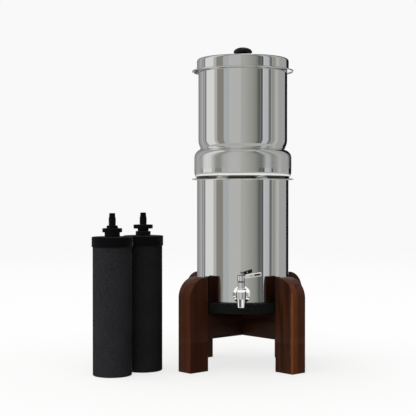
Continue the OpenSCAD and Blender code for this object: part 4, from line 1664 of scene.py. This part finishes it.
@dataclass
class Studio:
    """Camera, floor and light."""

    axis: Point
    eye: Point = (0.0410, -1.8500, 0.3017)
    lens: float = 91.47
    swing: float = 3.156
    dip: float = 0.867
    clip: Span = (0.05, 50.0)
    backdrop: float = 0.944
    floor_glow: float = 0.990
    floor_tone: Colour = (0.62, 0.615, 0.60)
    floor_fade: Span = (0.7, 4.0)
    floor_lit: Span = (0.15, 0.6)
    floor_share: float = 0.72
    cards: Tuple[Card, ...] = (
        Card(-177, -168, (0.10, 0.10, 0.11)), Card(-168, -150, (0.27, 0.27, 0.28)),
        Card(-150, -140, (0.34, 0.34, 0.35)), Card(-140, -131, (0.40, 0.40, 0.40)),
        Card(-131, -122.5, (0.48, 0.48, 0.48)), Card(-122.5, -118.5, (0.25, 0.25, 0.25)),
        Card(-118.5, -113.5, (0.48, 0.48, 0.48)), Card(-113.5, -109.5, (0.16, 0.16, 0.17)),
        Card(-109.5, -106, (0.44, 0.44, 0.44)), Card(-106, -77, (0.79, 0.79, 0.785)),
        Card(-77, -68, (0.51, 0.505, 0.49)), Card(-68, -49, (0.275, 0.262, 0.235)),
        Card(-49, -34, (0.46, 0.48, 0.485)), Card(-34, -4, (0.535, 0.54, 0.53)),
        Card(-4, 4, (0.455, 0.46, 0.435), True), Card(4, 12, (0.425, 0.43, 0.405), True),
        Card(12, 20, (0.385, 0.39, 0.365), True), Card(20, 28, (0.345, 0.35, 0.32), True),
        Card(28, 34, (0.30, 0.305, 0.28), True), Card(34, 38, (0.25, 0.255, 0.23), True),
        Card(38, 41, (0.18, 0.185, 0.165), True), Card(41, 46, (0.115, 0.13, 0.12)),
        Card(46, 48.5, (0.20, 0.205, 0.20)), Card(48.5, 53.5, (0.10, 0.105, 0.11)),
        Card(53.5, 57, (0.62, 0.63, 0.64)), Card(57, 69.5, (0.54, 0.555, 0.565)),
        Card(69.5, 73, (0.32, 0.32, 0.32)), Card(73, 77.5, (0.12, 0.12, 0.13)),
        Card(77.5, 80, (0.40, 0.40, 0.39), True), Card(80, 88, (0.31, 0.315, 0.29), True),
        Card(88, 95, (0.42, 0.42, 0.39), True), Card(95, 103, (0.52, 0.53, 0.495)),
        Card(103, 112, (0.41, 0.41, 0.415)), Card(112, 140, (0.405, 0.405, 0.41)),
        Card(140, 168, (0.012, 0.012, 0.012)),
    )
    splits: Tuple[float, ...] = (-180.0, -4.0, 77.5, 180.0)
    card_soft: float = 0.35
    behind: Colour = (0.95, 0.95, 0.95)
    overhead: Tuple[Tuple[Span, Colour], ...] = (
        ((0.88, 0.92), (0.40, 0.40, 0.39)), ((0.955, 0.975), (0.50, 0.50, 0.48)),
        ((-0.72, -0.86), (0.96, 0.96, 0.96)),
    )
    soft_from: Point = (-0.62, -0.42, 0.66)
    soft_facing: Span = (-0.5, 1.0)
    soft_strength: Span = (0.25, 2.1)
    level_z: float = 0.3185
    level_reach: Span = (0.093, 0.175)
    level_white: Span = (0.116, 0.124)
    level_grey: Colour = (0.47, 0.475, 0.45)
    white: Colour = (0.96, 0.96, 0.96)
    tap_card_z: float = 0.200
    tap_card_reach: Span = (0.100, 0.500)
    tap_card_white: Colour = (0.97, 0.97, 0.97)
    flag_reach: Span = (0.0795, 0.0955)
    flag_heights: Span = (0.1035, 0.157)
    flag_offset: float = 0.0150
    flag_black: Colour = (0.002, 0.002, 0.002)
    tap_ahead: float = 0.115
    tap_floor_reach: Span = (0.020, 0.300)
    tap_floor_z: float = 0.050
    low_cards: Tuple[Span, ...] = (
        (-150.0, 0.05), (-136.0, 0.95), (-66.0, 0.95), (-60.0, 0.12), (2.0, 0.12), (20.0, 0.97), (50.0, 0.97),
        (54.0, 0.12), (62.0, 0.12), (66.0, 0.97), (78.0, 0.97), (88.0, 0.12), (106.0, 0.12), (118.0, 0.90),
        (140.0, 0.90), (150.0, 0.05),
    )
    low_rings: Tuple[Tuple[Span, Colour], ...] = (
        ((0.205, 0.190), (0.10, 0.10, 0.10)), ((0.150, 0.130), (0.96, 0.96, 0.96)),
    )

    def camera(self) -> None:
        """Sets up the camera at the photograph's place."""
        data = bpy.data.cameras.new("camera")
        data.lens = self.lens
        data.sensor_width = 36.0
        data.clip_start, data.clip_end = self.clip
        eye = bpy.data.objects.new("camera", data)
        eye.location = Vector(self.axis) + Vector(self.eye)
        eye.rotation_euler = Euler((math.radians(90.0 - self.dip), 0.0, math.radians(self.swing)), "XYZ")
        bpy.context.scene.collection.objects.link(eye)
        bpy.context.scene.camera = eye

    def stretch(self, build: Nodes, share: Socket, low: float, high: float) -> Socket:
        """Lays the cards between two azimuths out on one colour ramp.

        Args:
            build: the world's nodes.
            share: azimuth as a share of a full turn from straight behind.
            low: azimuth at the ramp's start.
            high: azimuth at the ramp's end.

        Returns:
            The ramp's colour.
        """
        stops: List[Tuple[float, Colour]] = []
        for card in self.cards:
            if card.stop <= low or card.start >= high:
                continue
            if card.blend:
                stops.append(((card.start + card.stop) / 2, card.glow))
            else:
                stops += [(card.start + self.card_soft, card.glow), (card.stop - self.card_soft, card.glow)]
        if low < self.cards[0].start:
            stops.insert(0, (self.cards[0].start - self.card_soft, self.behind))
        if high > self.cards[-1].stop:
            stops.append((self.cards[-1].stop + self.card_soft, self.behind))
        width = high - low
        place = build.math("DIVIDE", build.math("SUBTRACT", share, (low + 180) / 360), width / 360)
        return build.ramp(place, [((angle - low) / width, glow) for angle, glow in stops])

    def all_round(self, build: Nodes, x: Socket, y: Socket) -> Socket:
        """Lays all the cards out round the tank's axis.

        Args:
            build: the world's nodes.
            x: how far to the right of the axis.
            y: how far behind it.

        Returns:
            The cards' colour.
        """
        share = build.azimuth(x, y)
        colour = self.stretch(build, share, self.splits[0], self.splits[1])
        for low, high in zip(self.splits[1:], self.splits[2:]):
            past = build.math("GREATER_THAN", share, (low + 180.0) / 360.0)
            colour = build.mix(past, colour, self.stretch(build, share, low, high))
        return colour

    def world(self) -> None:
        """Builds the light: a plain backdrop for the lens, cards for mirrors and soft light for the rest."""
        world = bpy.data.worlds.new("studio")
        bpy.context.scene.world = world
        world.use_nodes = True
        world.cycles.sampling_method = "NONE"
        world.node_tree.nodes.clear()
        build = Nodes(world.node_tree)
        where = build.add("ShaderNodeTexCoord").outputs["Generated"]
        x, y, z = build.split(where)
        colour = self.all_round(build, x, y)
        for heights, shade in self.overhead:
            colour = build.mix(build.spread(z, *heights), colour, shade)
        mirrored = build.add("ShaderNodeBackground", {"Color": colour})
        facing = build.add("ShaderNodeVectorMath", {0: where, 1: self.soft_from}, operation="DOT_PRODUCT")
        strength = build.spread(facing.outputs["Value"], *self.soft_facing, *self.soft_strength)
        soft = build.add("ShaderNodeBackground", {"Color": (1.0, 1.0, 1.0), "Strength": strength})
        plain = build.add("ShaderNodeBackground", {"Color": (self.backdrop, self.backdrop, self.backdrop)})
        ray = build.add("ShaderNodeLightPath").outputs
        lit = build.blend(ray["Is Glossy Ray"], soft, mirrored)
        seen = build.blend(ray["Is Camera Ray"], lit, plain)
        build.add("ShaderNodeOutputWorld", {"Surface": seen.outputs[0]})

    def floor(self) -> None:
        """Lays a pale floor that fades into the backdrop."""
        mesh = bmesh.new()
        bmesh.ops.create_circle(mesh, cap_ends=True, segments=96, radius=12.0)
        ground = as_object("floor", mesh)
        pale = Glow("pale_floor")
        reach = pale.length(pale.add("ShaderNodeTexCoord").outputs["Object"])
        strength = pale.spread(reach, *self.floor_fade, self.floor_glow, self.backdrop)
        pale.feed(strength, pale.light.inputs["Strength"])
        lit = pale.add("ShaderNodeBsdfDiffuse", {"Color": self.floor_tone})
        both = pale.blend(pale.spread(reach, *self.floor_lit, self.floor_share, 1.0), lit, pale.light)
        pale.feed(both.outputs[0], pale.out.inputs["Surface"])
        ground.data.materials.append(pale.material)
        ground.visible_glossy = False
        ground.visible_diffuse = False

    def hang(self, name: str, mesh: Mesh, material: Material) -> None:
        """Hangs a card that only mirrors see.

        Args:
            name: the card's name.
            mesh: its shape, in place.
            material: its glow.
        """
        card = as_object(name, mesh)
        card.data.materials.append(material)
        card.visible_camera = False
        card.visible_diffuse = False
        card.visible_shadow = False

    def ring_card(self, name: str, centre: Point, reach: Span, from_below: bool) -> Tuple[Glow, Socket]:
        """Hangs a level ring card that glows on one side and is clear on the other.

        Args:
            name: the card's name.
            centre: its middle.
            reach: its inner and outer radius.
            from_below: True when its lower side glows.

        Returns:
            Its glow, and the place within the card.
        """
        mesh = bmesh.new()
        for radius in reach:
            bmesh.ops.create_circle(mesh, segments=128, radius=radius)
        bmesh.ops.bridge_loops(mesh, edges=mesh.edges[:])
        for face in mesh.faces:
            if (face.normal.z < 0) != from_below:
                face.normal_flip()
        glow = Glow(name)
        glow.clear_behind()
        self.hang(name, move(mesh, centre), glow.material)
        return glow, glow.measured(glow.add("ShaderNodeTexCoord").outputs["Object"], centre)

    def level_card(self) -> None:
        """Hangs a ring card, edge on to the lens, that the foot of the tank's upper part mirrors."""
        centre = (self.axis[0], self.axis[1], self.level_z)
        glow, local = self.ring_card("level_card", centre, self.level_reach, False)
        near = glow.spread(glow.length(local), *self.level_white, 1.0, 0.0)
        glow.colour(glow.mix(near, self.level_grey, self.white))

    def tap_card(self) -> None:
        """Hangs a white card level over the tap."""
        centre = (self.axis[0], self.axis[1], self.tap_card_z)
        glow, _ = self.ring_card("tap_card", centre, self.tap_card_reach, True)
        glow.colour(self.tap_card_white)

    def tap_floor(self) -> None:
        """Lays black and white cards level under the tap, which only its own chrome mirrors."""
        centre = (self.axis[0], self.axis[1] - self.tap_ahead, self.tap_floor_z)
        glow, local = self.ring_card("tap_floor", centre, self.tap_floor_reach, False)
        x, y, _ = glow.split(local)
        stops = [(0.0, self.low_cards[0][1])]
        stops += [((angle + 180.0) / 360.0, shade) for angle, shade in self.low_cards]
        colour = glow.ramp(glow.azimuth(x, y), [(place, (shade, shade, shade)) for place, shade in stops])
        reach = glow.length(local)
        for edges, shade in self.low_rings:
            colour = glow.mix(glow.spread(reach, *edges), colour, shade)
        glow.colour(colour)

    def leg_flags(self) -> None:
        """Stands a black flag between tank and each front leg, so that the wall mirrors no light there."""
        inner, outer = self.flag_reach
        foot, top = self.flag_heights
        for name, degrees, side in (("left_flag", 225.0, -1.0), ("right_flag", 315.0, 1.0)):
            mesh = bmesh.new()
            bmesh.ops.create_grid(mesh, x_segments=1, y_segments=1, size=0.5)
            bmesh.ops.scale(mesh, verts=mesh.verts[:], vec=(outer - inner, top - foot, 1.0))
            turn(mesh, 90.0, Axis.ACROSS)
            move(mesh, ((inner + outer) / 2, side * self.flag_offset, (foot + top) / 2))
            glow = Glow(name)
            glow.colour(self.flag_black)
            self.hang(name, move(turn(mesh, degrees), self.axis), glow.material)

    def build(self) -> None:
        """Sets up the whole studio."""
        self.camera()
        self.world()
        self.floor()
        self.level_card()
        self.tap_card()
        self.tap_floor()
        self.leg_flags()
        view = bpy.context.scene.view_settings
        view.view_transform = "Standard"
        view.look = "None"
        log.info("studio ready")


def centre_of(node: str) -> Span:
    """Gives the middle of a node's box, seen from above."""
    low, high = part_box(node)
    return (low.x + high.x) / 2, (low.y + high.y) / 2


def main() -> None:
    """Builds every sub-assembly in order."""
    logging.basicConfig(level=logging.INFO, format="%(message)s")
    shop = Workshop()
    tank: Point = (*centre_of("base_ring"), 0.0)
    Studio(tank).build()
    steel, rubber, plastic = (finish.make(shop) for finish in (STEEL, RUBBER, PLASTIC))
    Stand().build(shop, tank)
    BaseRing().build(rubber, tank)
    Chambers().build(shop, tank)
    Lid().build(shop, steel, tank)
    Tap().build(shop, rubber, tank)
    # the rear element gets the carbon with painted shade
    for name, upside_down, carbon in (("front", False, CARBON), ("rear", True, SHADED_CARBON)):
        foot: Point = (*centre_of(f"{name}_carbon_block"), 0.0)
        FilterElement(name, upside_down).build(carbon.make(shop), plastic, rubber, foot)


if __name__ == "__main__":
    main()
